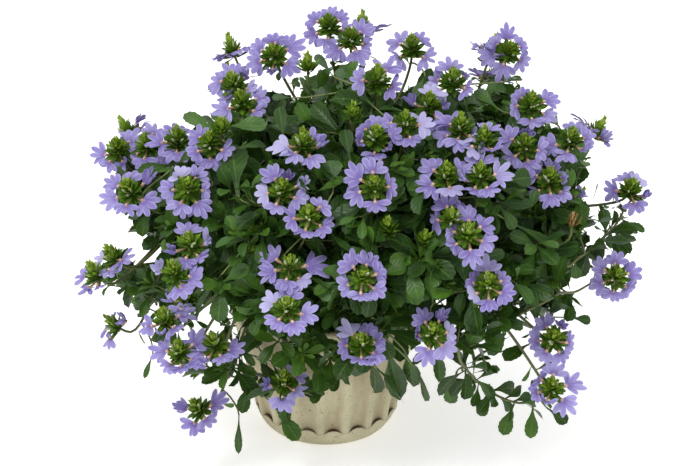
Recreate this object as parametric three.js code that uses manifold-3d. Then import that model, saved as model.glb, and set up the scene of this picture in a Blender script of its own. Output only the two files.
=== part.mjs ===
// Potted blue angel fan flower: a fluted stone bowl of soil with a mound of leafy, flowering stems.
// Millimetres, +Z up, origin at the middle of the pot's flat base, front of the plant towards -Y.
import * as THREE from 'three';
import Module from 'manifold-3d';

const wasm = await Module();
wasm.setup();

// Pot
const POT_HEIGHT = 130;
const BASE_RADIUS = 51;
const FOOT_RADIUS = 64.5;
const FOOT_HEIGHT = 17;
const RIM_RADIUS = 89;
const RIM_BAND = 12;
const WALL = 7;
const FLOOR = 10;
const INNER_BASE_RADIUS = 52;
const FLUTES = 18;
const FLUTE_STEPS = 3;
const FLUTE_DEPTH = 3.6;
const FLUTE_TOP_SHARE = 0.8;
const RIB_RECESS = 0.5;
const FLUTE_TURN = 5.5;
const FLARE_POWER = 1.15;
const FOOT_ROW = 5;

// Soil
const FIT_GAP = 0.3;
const SOIL_TOP = 112;
const SOIL_DOME = 5;
const SOIL_SIDES = 20;
const SOIL_BUMP = 3;
const SHOULDER_RADIUS = 54;
const SHOULDER_HEIGHT = 3;
const CROWN_RADIUS = 30;
const HOLE_FLOOR = 83;
const HOLE_SIDES = 5;
const HOLE_ROOM = 0.9;
const HOLE_CUT_TOP = 132;

// Mound of foliage and blooms: an ellipsoid that the flower heads lie on
const MOUND_MIDDLE = new THREE.Vector3(32, 0, 195);
const MOUND_REACH = new THREE.Vector3(232, 190, 160);

// Front view that the places of heads and large leaves are read in, 700 points wide and 466 high
const VIEW_AIM = new THREE.Vector3(21, 0, 182);
const VIEW_DISTANCE = 1800;
const VIEW_RISE = 25;
const VIEW_POINT = 0.87;
const VIEW_CENTRE = [350, 233];

// Stems
const OUTER_STEMS = 6;
const STEM_SIDES = 3;
const MAIN_RADIUS = 2.3;
const SHOOT_RADIUS = 1.5;
const SHOOT_STEPS = 2;
const STEM_FOOT = 83.4;
const OUTER_FOOT_RADIUS = 26;
const OUTER_EXIT = 122;
const OUTER_RUN = [[46, 158], [78, 184], [116, 196]];
const OUTER_WIDENING = 1.1;
const OUTER_LEAN = 0.14;
const MIDDLE_RUN = [[0, 0, 125], [5, -2, 180], [14, 0, 225], [20, 0, 262]];
const FIRST_BEARING_STEP = 2;
const NECK_BELOW = 9;
const NECK_BEND = 26;
const NECK_SHARE = 0.38;
const NECK_ABOVE = 2.6;
const SHOOT_OUT = 0.35;
const SHOOT_RISE = 0.12;
const BOWS = [0, 0.12, -0.1, 0.25, -0.2, 0.4];
const ROUTES_TRIED = 3;

// Flower heads
const FAN_REACH = 24.5;
const LOBE_REACH = [0.80, 0.95, 1, 0.95, 0.80];
const LOBE_SPREAD = [-1, -0.53, 0, 0.53, 1];
const FAN_HALF_ANGLE = 41;
const PALM_RADIUS = 11;
const NOTCH_SHARE = 0.5;
const LOBE_ROOM = 0.93;
const FAN_THICKNESS = 1.5;
const FAN_CUP = 0.16;
const HUB_RADIUS = 5;
const HUB_THICKNESS = 2.2;
const HUB_STEP = 90;
const BRACT_TIPS = 5;
const BRACT_RADIUS = 8.5;
const BRACT_RISE = 6;
const BRACT_GAP_RADIUS = 4;
const BRACT_GAP_RISE = 5;
const SPIKE_HEIGHT = 13;

// Leaves
const LEAF_THICKNESS = 1.3;
const THICKEST = 0.5;
const SMALL_LEAF = 21;
const SMALL_WIDTH_SHARE = 0.4;
const SMALL_LEAST = 0.85;
const SMALL_SPREAD = 0.3;
const SMALL_ARCH = 1;
const WHORL_LEAVES = 1;
const WHORL_DROOP = -0.15;
const WHORL_BELOW = 6;
const WHORL_PITCH = 1.5;
const TIP_LEAVES = 3;
const TIP_LIFT = 0.5;
const ROOT_SINK = 1;
const TOOTHED_WIDTH = 14;
const LARGE_ARCH = 1.5;
const LARGE_FACE = new THREE.Vector3(0, -0.5, 0.85);
const STALK_EDGE = [0.02, 0.12];
const ROOT_REACH = 0.97;
const LEAF_DEPTHS = [1, 0.96, 1.03, 0.92, 0.88, 1.07];
const JOINTS_TRIED = 3;
const BACKWARD_COST = 1.6;
const LOWEST_TIP = 3;

// Inner masses of foliage
const CORE_ROWS = [-60, -20, 20, 60];
const CORE_SIDES = 6;
const SIDE_CORE = new THREE.Vector3(36, 36, 42);
const TOP_CORE = new THREE.Vector3(40, 40, 40);
const SIDE_CORE_SHARE = 0.4;
const SIDE_CORE_LIFT = 4;
const TOP_CORE_MIDDLE = new THREE.Vector3(17, 0, 250);
const CORE_ROUGHNESS = 0.3;

// Outer masses of foliage: rows over the far side and the flanks, each [height angle, masses, reach]
const MASS_LEVELS = [[-8, 5, 0.62], [24, 5, 0.62], [55, 3, 0.62], [-40, 3, 0.4]];
const MASS_TURNS = [75, 285];
const MASS_ROWS = [-45, 0, 45];
const MASS_SIDES = 5;
const MASS_SIZES = [54, 46, 40, 34, 28];

const DEG = Math.PI / 180;
const TURN = 2 * Math.PI;
const UP = new THREE.Vector3(0, 0, 1);

// Heads seen from the front: [across, down, turn to the right, rise above level, reach, fans' clock places].
// A twin shares the plane of the head before it, so that their fans meet.
const TWIN = 'twin';
const FRONT_HEADS = [
  [329, 28, -5, 50, 1, [8, 10, 12, 1.5, 3, 6]],
  [350, 41, TWIN, [1.5, 3.5, 5.3, 7.3]],
  [274, 57, -5, 35, 1, [6, 8, 10, 12, 2, 4]],
  [412, 50, 0, 55, 1, [1, 4, 8, 10]],
  [508, 53, 5, 35, 1, [12, 2, 4, 7, 8.8, 10.5]],
  [234, 87, -15, 50, 1, [9.5, 11.5, 1.2, 3]],
  [243, 105, TWIN, [8, 9.7, 2, 3.8]],
  [452, 83, 5, 55, 1, [12, 2.3, 4, 8, 9.7]],
  [429, 108, TWIN, [9.5, 12.5, 3, 7, 5]],
  [119, 152, -15, 47, 1, [8.5, 7, 5, 1]],
  [148, 147, TWIN, [12.5, 3.5, 6, 7.8]],
  [131, 193, -20, 45, 1.02, [1.5, 3.7, 6, 8, 9.7, 11.3]],
  [188, 190, 0, 30, 1, [9, 11, 1, 3, 5, 7]],
  [211, 145, -5, 45, 0.97, [10, 8, 6, 4]],
  [303, 147, 5, 70, 1, [9, 7, 5.3, 3.2, 1.5]],
  [282, 192, 0, 45, 1, [9, 6.7, 4.2, 2.4, 11, 12.7]],
  [376, 140, 0, 50, 1, [8.5, 6.3, 4.3, 2.5, 10.5, 12.5]],
  [405, 125, TWIN, [3.3, 5.2, 9]],
  [374, 188, 0, 35, 1, [3, 6, 8.3, 12, 10.2]],
  [309, 218, 0, 50, 1, [9, 4.5, 6.5, 1.5]],
  [461, 131, 0, 70, 1, [8.5, 6.5, 4.8, 10.5]],
  [484, 143, TWIN, [8, 12.5, 10.5, 5]],
  [531, 107, 0, 50, 1, [12.5, 2.3, 4, 6, 9, 10.7]],
  [524, 148, TWIN, [7.5, 3.5, 5.5, 10, 12.3]],
  [570, 142, 10, 56, 1, [6.7, 4.8, 2.7, 1, 8.7]],
  [549, 183, TWIN, [8, 6.2, 4.5, 2.7, 10, 12.8]],
  [446, 178, -3, 60, 1, [8, 5.5, 2, 10]],
  [480, 178, TWIN, [2.7, 5, 8.5, 12, 6.8]],
  [629, 192, 15, 50, 1, [9.3, 12, 1.8, 3.7, 5.7]],
  [615, 278, 10, 30, 1, [12, 2.5, 4.5, 6.3, 8.5, 10.3]],
  [553, 340, 3, 38, 1, [11.3, 1, 3.5, 5.2, 7, 9]],
  [552, 389, TWIN, [8.7, 7, 10.5, 2.7, 4.4, 12.3]],
  [468, 236, -3, 42, 1, [7.7, 9.5, 5.7, 3.8, 1.7, 12]],
  [452, 221, TWIN, [9, 11.3, 1]],
  [488, 286, 0, 45, 1, [9.5, 7.8, 6, 4.4, 2.3, 12]],
  [433, 335, 0, 42, 0.95, [9, 11, 12.8, 2.6, 4.7, 6.8]],
  [362, 279, 0, 30, 1, [10.7, 12.6, 2.5, 4.3, 6.3, 8.3]],
  [361, 346, 0, 55, 0.93, [9, 10.9, 6, 4, 2.3, 12.7]],
  [290, 268, 0, 55, 0.95, [8.3, 10, 3, 4.8, 6.5]],
  [287, 310, TWIN, [10, 3.5, 7, 5.2, 12]],
  [284, 384, 0, 58, 0.93, [8.5, 6.4, 4.3, 1.7]],
  [215, 346, -18, 58, 0.98, [3, 6.3, 4.7, 9, 7.6]],
  [180, 353, TWIN, [9, 7, 5.4, 3.7, 1.5]],
  [200, 410, -45, 45, 1, [1.7, 3.7, 6, 8.5]],
  [117, 327, -75, 35, 1, [1, 6, 8.3]],
  [166, 322, -30, 62, 1, [3.7, 7.5, 5.7, 1.7]],
  [188, 300, TWIN, [8.5, 6, 10.5]],
  [115, 259, -60, 50, 1, [8, 5, 2.5]],
  [97, 276, TWIN, [7.8, 4, 6]],
  [190, 246, -10, 50, 1, [8, 6.3, 4.5, 2.5, 11.5]],
  [175, 274, TWIN, [3, 9, 5]],
  [377, 82, 5, 60, 1, [1.5, 4, 9]],
  [177, 143, 8, 66, 0.9, [12, 3, 6, 9]],
];

// Heads on the far side: rows round the mound, each [height angle, first turn, last turn, heads]
const BACK_ROWS = [[52, 128, 232, 3], [20, 110, 250, 5], [-10, 122, 238, 4]];
const BACK_FANS = [1, 5, 9];
const BACK_FAN_SHIFT = 0.7;
const BACK_STAGGER = 8;
const BACK_RISE = 30;
const BACK_RISE_SHARE = 0.6;

// Large leaves seen from the front: [root across, root down, tip across, tip down, width, reach]
const LARGE_LEAVES = [
  [223, 140, 182, 109, 12, 1.02],
  [227, 127, 262, 121, 19, 1],
  [238, 196, 231, 138, 25, 0.96],
  [221, 126, 195, 112, 9, 0.97],
  [284, 141, 279, 106, 11, 0.95],
  [350, 161, 345, 128, 12, 1],
  [334, 186, 330, 160, 19, 0.98],
  [503, 181, 531, 176, 17, 0.98],
  [377, 200, 333, 216, 14, 0.93],
  [417, 160, 447, 153, 12, 0.93],
  [285, 254, 261, 279, 17, 0.92],
  [222, 274, 187, 315, 12, 0.97],
  [166, 290, 140, 312, 20, 0.94],
  [553, 291, 563, 258, 18, 0.95],
  [545, 284, 560, 326, 20, 0.93],
  [510, 222, 567, 250, 14, 0.93],
  [466, 333, 498, 363, 24, 0.93],
  [491, 310, 520, 317, 15, 0.9],
  [376, 368, 409, 397, 19, 0.87],
  [413, 365, 434, 392, 14, 0.87],
  [457, 371, 448, 406, 13, 0.9],
  [493, 393, 479, 411, 12, 0.95],
  [514, 404, 502, 433, 13, 0.95],
  [533, 404, 531, 437, 12, 0.95],
  [547, 408, 567, 422, 12, 0.95],
  [528, 345, 507, 355, 16, 0.95],
  [276, 408, 298, 439, 15, 0.76],
  [239, 414, 238, 452, 7, 0.85],
  [251, 380, 240, 411, 12, 0.82],
  [153, 354, 144, 377, 5, 0.97],
  [570, 318, 591, 320, 9, 0.95],
  [610, 226, 591, 215, 8, 0.98],
  [620, 221, 605, 212, 7, 0.98],
  [625, 221, 645, 230, 7, 0.98],
  [606, 240, 620, 263, 9, 0.97],
  [580, 250, 598, 258, 8, 0.93],
  [373, 106, 348, 82, 15, 0.95],
  [342, 93, 340, 61, 8, 0.97],
  [333, 76, 315, 52, 8, 0.97],
  [425, 76, 415, 94, 8, 0.95],
  [426, 83, 446, 70, 8, 0.95],
  [498, 109, 476, 89, 12, 0.97],
  [503, 82, 523, 72, 9, 0.97],
  [293, 98, 272, 96, 6, 0.95],
  [175, 145, 174, 127, 7, 0.95],
  [213, 183, 201, 167, 9, 0.95],
  [176, 166, 193, 149, 10, 0.95],
];

// Young leafy tips without flowers: [across, down, turn, rise, reach]
const LEAFY_TIPS = [
  [353, 120, 0, 65, 0.97],
  [222, 133, 0, 50, 1],
  [308, 72, 0, 75, 0.95],
  [388, 233, 0, 55, 0.92],
  [425, 245, 0, 60, 0.92],
  [572, 226, 5, 75, 0.97],
];

const rand = n => {
  const s = Math.sin(n * 12.9898) * 43758.5453;
  return s - Math.floor(s);
};

const vec = (x, y, z) => new THREE.Vector3(x, y, z);
const along = (from, direction, distance) => from.clone().addScaledVector(direction, distance);
const between = (a, b, share) => a.clone().lerp(b, share);

// Solids
function solid(points, triangles) {
  const vertProperties = new Float32Array(points.flatMap(p => [p.x, p.y, p.z]));
  const triVerts = new Uint32Array(triangles.flat());
  return new wasm.Manifold(new wasm.Mesh({ numProp: 3, vertProperties, triVerts }));
}

function named(name, body, material) {
  const { vertProperties, triVerts } = body.getMesh();
  const geometry = new THREE.BufferGeometry();
  geometry.setAttribute('position', new THREE.BufferAttribute(vertProperties, 3));
  geometry.setIndex(new THREE.BufferAttribute(triVerts, 1));
  geometry.computeVertexNormals();
  const mesh = new THREE.Mesh(geometry, material);
  mesh.name = name;
  return mesh;
}

const joined = bodies => wasm.Manifold.union(bodies);
const LEAST_OVERLAP = 1e-3;
const crosses = (a, b) => a.intersect(b).volume() > LEAST_OVERLAP;

// Closed skin over rows of points of equal count, each row running anticlockwise seen from above
function rowSolid(rows) {
  const count = rows[0].length;
  const points = rows.flat();
  const triangles = [];
  for (let r = 0; r + 1 < rows.length; r++) {
    for (let i = 0; i < count; i++) {
      const j = (i + 1) % count;
      const [a, b, c, d] = [r * count + i, r * count + j, (r + 1) * count + j, (r + 1) * count + i];
      triangles.push([a, b, c], [a, c, d]);
    }
  }
  const middle = row => row.reduce((sum, p) => sum.add(p), vec(0, 0, 0)).divideScalar(count);
  points.push(middle(rows[0]), middle(rows[rows.length - 1]));
  const last = (rows.length - 1) * count;
  for (let i = 0; i < count; i++) {
    const j = (i + 1) % count;
    triangles.push([points.length - 2, j, i], [points.length - 1, last + i, last + j]);
  }
  return solid(points, triangles);
}

// Rows of three points round a path, turned least from one to the next, back from a given side at its end
function stemRows(path, startRadius, endRadius, endSide) {
  const rows = [];
  let side = endSide;
  for (let i = path.length - 1; i >= 0; i--) {
    const ahead = path[Math.min(i + 1, path.length - 1)].clone().sub(path[Math.max(i - 1, 0)]).normalize();
    side = side.clone().addScaledVector(ahead, -side.dot(ahead)).normalize();
    const other = ahead.clone().cross(side);
    const radius = startRadius + (endRadius - startRadius) * i / (path.length - 1);
    rows.unshift(Array.from({ length: STEM_SIDES }, (_, k) => {
      const angle = TURN * k / STEM_SIDES;
      return along(along(path[i], side, radius * Math.cos(angle)), other, radius * Math.sin(angle));
    }));
  }
  return rows;
}

// Thin blade: one outline, with a middle point above it and one below
function blade(outline, middle, normal, thickness) {
  const points = [...outline, along(middle, normal, thickness / 2), along(middle, normal, -thickness / 2)];
  const count = outline.length;
  const triangles = [];
  for (let i = 0; i < count; i++) {
    const j = (i + 1) % count;
    triangles.push([i, j, count], [j, i, count + 1]);
  }
  return solid(points, triangles);
}

// Pot
const potRadius = z => FOOT_RADIUS
  + (RIM_RADIUS - FOOT_RADIUS) * ((z - FOOT_HEIGHT) / (POT_HEIGHT - FOOT_HEIGHT)) ** FLARE_POWER;
const footRadius = z => BASE_RADIUS + (FOOT_RADIUS - BASE_RADIUS) * Math.sqrt(z / FOOT_HEIGHT);
const innerRadius = z => INNER_BASE_RADIUS
  + (RIM_RADIUS - WALL - INNER_BASE_RADIUS) * (z - FLOOR) / (POT_HEIGHT - FLOOR);

function pot() {
  const columns = FLUTES * FLUTE_STEPS;
  const row = (z, radiusAt) => Array.from({ length: columns }, (_, i) => {
    const angle = (-90 + FLUTE_TURN + 360 * (i - FLUTE_STEPS / 2) / columns) * DEG;
    const radius = radiusAt((i % FLUTE_STEPS) / FLUTE_STEPS * 2 - 1);
    return vec(radius * Math.cos(angle), radius * Math.sin(angle), z);
  });
  const plain = (z, radius) => row(z, () => radius);
  const recess = across => RIB_RECESS + FLUTE_DEPTH * (1 - across ** 2);
  const fluted = (z, share) => row(z, across => potRadius(z) - share * recess(across));
  return rowSolid([
    plain(0, BASE_RADIUS),
    plain(FOOT_ROW, footRadius(FOOT_ROW)),
    plain(FOOT_HEIGHT, FOOT_RADIUS),
    fluted(FOOT_HEIGHT, 1),
    fluted(POT_HEIGHT - 2 * RIM_BAND, FLUTE_TOP_SHARE),
    plain(POT_HEIGHT - RIM_BAND, potRadius(POT_HEIGHT - RIM_BAND)),
    plain(POT_HEIGHT, RIM_RADIUS),
    plain(POT_HEIGHT, RIM_RADIUS - WALL),
    plain(FLOOR, INNER_BASE_RADIUS),
  ]);
}

// Soil, with a plain hole for each main stem
function soil(holes) {
  const ring = (radius, z, bump) => Array.from({ length: SOIL_SIDES }, (_, i) => {
    const angle = TURN * i / SOIL_SIDES;
    return vec(radius * Math.cos(angle), radius * Math.sin(angle), z + bump * (rand(i + radius) - 0.5));
  });
  const edge = innerRadius(SOIL_TOP) - FIT_GAP;
  const filling = rowSolid([
    ring(INNER_BASE_RADIUS - FIT_GAP, FLOOR + FIT_GAP, 0),
    ring(edge, SOIL_TOP, 0),
    ring(SHOULDER_RADIUS, SOIL_TOP + SHOULDER_HEIGHT, SOIL_BUMP),
    ring(CROWN_RADIUS, SOIL_TOP + SOIL_DOME, SOIL_BUMP),
  ]);
  const cutters = holes.map(([x, y]) => {
    const level = z => Array.from({ length: HOLE_SIDES }, (_, k) => {
      const angle = TURN * k / HOLE_SIDES;
      const radius = MAIN_RADIUS + HOLE_ROOM;
      return vec(x + radius * Math.cos(angle), y + radius * Math.sin(angle), z);
    });
    return rowSolid([level(HOLE_FLOOR), level(HOLE_CUT_TOP)]);
  });
  return filling.subtract(joined(cutters));
}

// Places on the mound, from the front view
const viewAhead = vec(0, Math.cos(VIEW_RISE * DEG), -Math.sin(VIEW_RISE * DEG));
const viewUp = vec(0, Math.sin(VIEW_RISE * DEG), Math.cos(VIEW_RISE * DEG));
const eye = along(VIEW_AIM, viewAhead, -VIEW_DISTANCE);

function sight(across, down) {
  const seen = along(along(VIEW_AIM, vec(1, 0, 0), (across - VIEW_CENTRE[0]) * VIEW_POINT),
    viewUp, (VIEW_CENTRE[1] - down) * VIEW_POINT);
  return seen.sub(eye).normalize();
}

function onMound(across, down, reach) {
  const ray = sight(across, down);
  const size = MOUND_REACH.clone().multiplyScalar(reach);
  const start = eye.clone().sub(MOUND_MIDDLE).divide(size);
  const step = ray.clone().divide(size);
  const a = step.dot(step);
  const b = start.dot(step);
  const c = start.dot(start) - 1;
  return along(eye, ray, (-b - Math.sqrt(Math.max(0, b * b - a * c))) / a);
}

const facing = (turn, rise) => vec(
  Math.sin(turn * DEG) * Math.cos(rise * DEG),
  -Math.cos(turn * DEG) * Math.cos(rise * DEG),
  Math.sin(rise * DEG));

function head(place, turn, rise, fans) {
  const axis = facing(turn, rise);
  const top = UP.clone().addScaledVector(axis, -axis.z).normalize();
  return { place, axis, top, right: top.clone().cross(axis), fans };
}

function allHeads() {
  const front = [];
  for (const [across, down, turn, ...rest] of FRONT_HEADS) {
    if (turn === TWIN) {
      const { place, axis, top, right } = front.at(-1);
      const ray = sight(across, down);
      const shared = along(eye, ray, place.clone().sub(eye).dot(axis) / ray.dot(axis));
      front.push({ place: shared, axis, top, right, fans: rest[0] });
    } else {
      const [rise, reach, fans] = rest;
      front.push(head(onMound(across, down, reach), turn, rise, fans));
    }
  }
  const backHead = (height, turn, i) => {
    const out = facing(turn, height + BACK_STAGGER * (i % 2));
    const place = MOUND_MIDDLE.clone().add(out.multiply(MOUND_REACH));
    const rise = BACK_RISE + height * BACK_RISE_SHARE;
    return head(place, turn, rise, BACK_FANS.map(hour => hour + i * BACK_FAN_SHIFT));
  };
  const back = BACK_ROWS.flatMap(([height, first, last, count]) => Array.from({ length: count },
    (_, i) => backHead(height, first + (last - first) * i / (count - 1), i)));
  return [...front, ...back];
}

// Main stems: one up the middle and the others leaning out all round
function mainPath(number) {
  if (number === OUTER_STEMS) return [vec(0, 0, STEM_FOOT), ...MIDDLE_RUN.map(point => vec(...point))];
  const angle = (360 * (number + 0.5) / OUTER_STEMS - 90) * DEG;
  const foot = z => vec(OUTER_FOOT_RADIUS * Math.cos(angle), OUTER_FOOT_RADIUS * Math.sin(angle), z);
  const run = OUTER_RUN.map(([radius, z]) => vec(
    radius * (Math.cos(angle) * OUTER_WIDENING + OUTER_LEAN), radius * Math.sin(angle), z));
  return [foot(STEM_FOOT), foot(OUTER_EXIT), ...run];
}

function nearestOn(path, place, firstStep) {
  let best = null;
  for (let i = firstStep; i + 1 < path.length; i++) {
    for (let s = 0; s <= 4; s++) {
      const point = between(path[i], path[i + 1], s / 4);
      const distance = point.distanceTo(place);
      if (!best || distance < best.distance) best = { point, distance };
    }
  }
  return best.point;
}

// Side shoot from a stem to a head, ending in a straight neck along the head's axis
function shootPath(start, { place, axis }, bow) {
  const neck = along(place, axis, -NECK_BELOW);
  const span = start.distanceTo(neck);
  const out = neck.clone().sub(start).setZ(0).normalize();
  const curve = new THREE.CubicBezierCurve3(
    start,
    along(along(start, out, span * SHOOT_OUT), UP, span * (SHOOT_RISE + bow)),
    along(neck, axis, -Math.min(span * NECK_SHARE, NECK_BEND)),
    neck);
  return curve.getPoints(SHOOT_STEPS);
}

// Ring of fans round the neck, in one piece: a hub with a bore, then for each fan a palm and five lobes.
// Places round the ring are angles turned clockwise from its top, as the fans' clock places are.
function bloom({ place, axis, top, right, fans }, extra = 0) {
  const at = (angle, radius, rise) => along(along(along(place, right, Math.sin(angle) * radius),
    top, Math.cos(angle) * radius), axis, rise);
  const boreStart = TURN / 4;
  const boreRadius = SHOOT_RADIUS + 2 * FIT_GAP;
  const widest = FAN_HALF_ANGLE * DEG;
  const points = [];
  const put = point => points.push(point) - 1;
  const rim = new Map();
  const fromBore = angle => ((angle - boreStart) % TURN + TURN + 1e-6) % TURN;
  const onRim = angle => {
    const turned = fromBore(angle);
    const key = turned.toFixed(4);
    if (!rim.has(key)) {
      const index = put(at(turned + boreStart, HUB_RADIUS, 0));
      rim.set(key, { angle: turned, upper: index, lower: index });
    }
    return rim.get(key).upper;
  };
  const triangles = [];
  const directions = fans.map(hour => (hour * 30 % 360) * DEG).sort((a, b) => a - b);
  const gapAfter = i => {
    const next = directions[(i + 1) % directions.length];
    return (next - directions[i] + TURN - 1e-9) % TURN + 1e-9;
  };
  directions.forEach((direction, i) => {
    const gap = gapAfter(i);
    const gapBefore = gapAfter((i + directions.length - 1) % directions.length);
    const halves = [gapBefore, gap].map(room => Math.min(room / 2, widest));
    const [leftRim, rightRim] = [onRim(direction - halves[0]), onRim(direction + halves[1])];
    const steps = Math.ceil((gap - 2 * widest) / (HUB_STEP * DEG));
    for (let s = 1; s < steps; s++) onRim(direction + widest + (gap - 2 * widest) * s / steps);
    const palm = at(direction, PALM_RADIUS, (PALM_RADIUS - HUB_RADIUS) * FAN_CUP);
    const tips = LOBE_SPREAD.map((spread, k) => {
      const angle = direction + spread * halves[spread < 0 ? 0 : 1] * LOBE_ROOM;
      const radius = (FAN_REACH + extra) * LOBE_REACH[k];
      return at(angle, radius, (radius - HUB_RADIUS) * FAN_CUP);
    });
    const notches = tips.slice(1).map((tip, k) => between(palm, between(tip, tips[k], 0.5), NOTCH_SHARE));
    const lobes = tips.flatMap((tip, k) => (k ? [notches[k - 1], tip] : [tip])).map(put);
    const outline = [leftRim, ...lobes, rightRim];
    const upper = put(along(palm, axis, (FAN_THICKNESS + extra) / 2));
    const lower = put(along(palm, axis, -(FAN_THICKNESS + extra) / 2));
    rim.set(`palm ${i}`, { angle: fromBore(direction), upper, lower });
    outline.slice(1).forEach((b, k) => triangles.push([b, outline[k], upper], [outline[k], b, lower]));
  });
  const outer = [...rim.values()].sort((a, b) => a.angle - b.angle);
  const bore = Array.from({ length: STEM_SIDES }, (_, k) => {
    const angle = TURN * k / STEM_SIDES;
    const edge = height => put(at(angle + boreStart, boreRadius, height));
    return { angle, upper: edge(HUB_THICKNESS / 2), lower: edge(-HUB_THICKNESS / 2) };
  });
  const angleOf = (ring, i) => ring[i % ring.length].angle + (i >= ring.length ? TURN : 0);
  for (let o = 0, n = 0; o < outer.length || n < bore.length;) {
    const [out, outNext] = [outer[o % outer.length], outer[(o + 1) % outer.length]];
    const [now, next] = [bore[n % bore.length], bore[(n + 1) % bore.length]];
    if (n >= bore.length || (o < outer.length && angleOf(outer, o + 1) <= angleOf(bore, n + 1))) {
      triangles.push([now.upper, outNext.upper, out.upper], [now.lower, out.lower, outNext.lower]);
      o += 1;
    } else {
      triangles.push([now.upper, next.upper, out.upper], [now.lower, out.lower, next.lower]);
      triangles.push([now.upper, now.lower, next.lower], [now.upper, next.lower, next.upper]);
      n += 1;
    }
  }
  return solid(points, triangles);
}

// Side shoot and its green spike in one skin: three-sided up the neck, then a star of pointed bracts
function floweringShoot(path, { place, axis, top, right }, extra = 0) {
  const radius = SHOOT_RADIUS + extra;
  const rows = stemRows([...path, along(place, axis, NECK_ABOVE)], radius, radius, right);
  const bracts = Array.from({ length: 2 * BRACT_TIPS }, (_, k) => {
    const angle = Math.PI * k / BRACT_TIPS;
    const [out, rise] = k % 2 ? [BRACT_GAP_RADIUS, BRACT_GAP_RISE] : [BRACT_RADIUS, BRACT_RISE];
    return along(along(along(place, right, Math.cos(angle) * out), top, Math.sin(angle) * out), axis, rise);
  });
  const points = [...rows.flat(), ...bracts, path[0], along(place, axis, SPIKE_HEIGHT)];
  const [sides, count] = [STEM_SIDES, bracts.length];
  const triangles = [];
  const wall = (a, b, c, d) => triangles.push([a, b, c], [a, c, d]);
  for (let r = 0; r + 1 < rows.length; r++) {
    for (let i = 0; i < sides; i++) {
      const j = (i + 1) % sides;
      wall(r * sides + i, r * sides + j, (r + 1) * sides + j, (r + 1) * sides + i);
    }
  }
  for (let i = 0; i < sides; i++) triangles.push([points.length - 2, (i + 1) % sides, i]);
  const neck = (rows.length - 1) * sides;
  const star = neck + sides;
  for (let n = 0, t = 0; n < sides || t < count;) {
    const [neckNow, starNow] = [neck + n % sides, star + t % count];
    if (t >= count || (n < sides && (n + 1) / sides < (t + 1) / count)) {
      triangles.push([neckNow, neck + (n + 1) % sides, starNow]);
      n += 1;
    } else {
      triangles.push([neckNow, star + (t + 1) % count, starNow]);
      t += 1;
    }
  }
  for (let i = 0; i < count; i++) triangles.push([star + i, star + (i + 1) % count, points.length - 1]);
  return solid(points, triangles);
}

// Leaf from its root: narrow there, widest past the middle, and coarsely toothed where it is large
const SMALL_OUTLINE = [[0.45, 0.6], [0.76, 1]];
const LARGE_OUTLINE = [[0.4, 0.5], [0.66, 1], [0.74, 0.82], [0.88, 0.72]];

function leaf(root, tip, normal, width, outline, arch, extra = 0) {
  const axis = tip.clone().sub(root);
  const side = axis.clone().cross(normal).normalize();
  const above = side.clone().cross(axis).normalize();
  const at = (share, lateral) => along(along(along(root, axis, share), side, lateral * (width + extra) / 2),
    above, arch * 4 * share * (1 - share));
  const outward = outline.map(([share, lateral]) => at(share, lateral));
  const back = outline.map(([share, lateral]) => at(share, -lateral)).reverse();
  const middle = at(THICKEST + (1 - THICKEST) * outline[0][0], 0);
  return blade([root, ...outward, tip, ...back], middle, above, LEAF_THICKNESS + extra);
}

// Lumpy inner mass of crowded stems and leaves that the outer ones stand out of
function core(middle, reach, seed, heights = CORE_ROWS, sides = CORE_SIDES) {
  const rows = heights.map((height, r) => Array.from({ length: sides }, (_, k) => {
    const angle = TURN * (k + (r % 2) / 2) / sides;
    const round = Math.cos(height * DEG) * (1 + CORE_ROUGHNESS * (rand(seed + 7 * r + k) - 0.5));
    const lift = Math.sin(height * DEG) * (1 + CORE_ROUGHNESS * (rand(seed + 3 * r + 2 * k) - 0.5));
    return middle.clone().add(vec(Math.cos(angle) * round, Math.sin(angle) * round, lift).multiply(reach));
  }));
  return rowSolid(rows);
}

// Growing: each green piece is tested against the pieces of the other stems, and each bloom against all
const placed = [];
const boxOf = body => new THREE.Box3(vec(...body.boundingBox().min), vec(...body.boundingBox().max));

function clear(body, skips) {
  const box = boxOf(body);
  return !placed.some(piece => !skips(piece) && box.intersectsBox(piece.box) && crosses(body, piece.body));
}

function keep(body, stem, kind, shoot = -1) {
  placed.push({ body, box: boxOf(body), stem, kind, shoot });
}

const heads = allHeads();
const tips = LEAFY_TIPS.map(([across, down, turn, rise, reach]) =>
  head(onMound(across, down, reach), turn, rise, []));
const stemNumbers = Array.from({ length: OUTER_STEMS + 1 }, (_, i) => i);

const potBody = pot();
const soilBody = soil(stemNumbers.map(number => mainPath(number)[0].toArray()));
keep(potBody, 'pot', 'pot');
keep(soilBody, 'soil', 'soil');
for (const number of stemNumbers) {
  const path = mainPath(number);
  keep(rowSolid(stemRows(path, MAIN_RADIUS, MAIN_RADIUS, vec(1, 0, 0))), number, 'stem');
  const sideMiddle = between(path.at(-2), path.at(-1), SIDE_CORE_SHARE).add(vec(0, 0, SIDE_CORE_LIFT));
  const isMiddle = number === OUTER_STEMS;
  const [coreMiddle, coreReach] = isMiddle ? [TOP_CORE_MIDDLE, TOP_CORE] : [sideMiddle, SIDE_CORE];
  keep(core(coreMiddle, coreReach, number), number, 'core');
}

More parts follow.
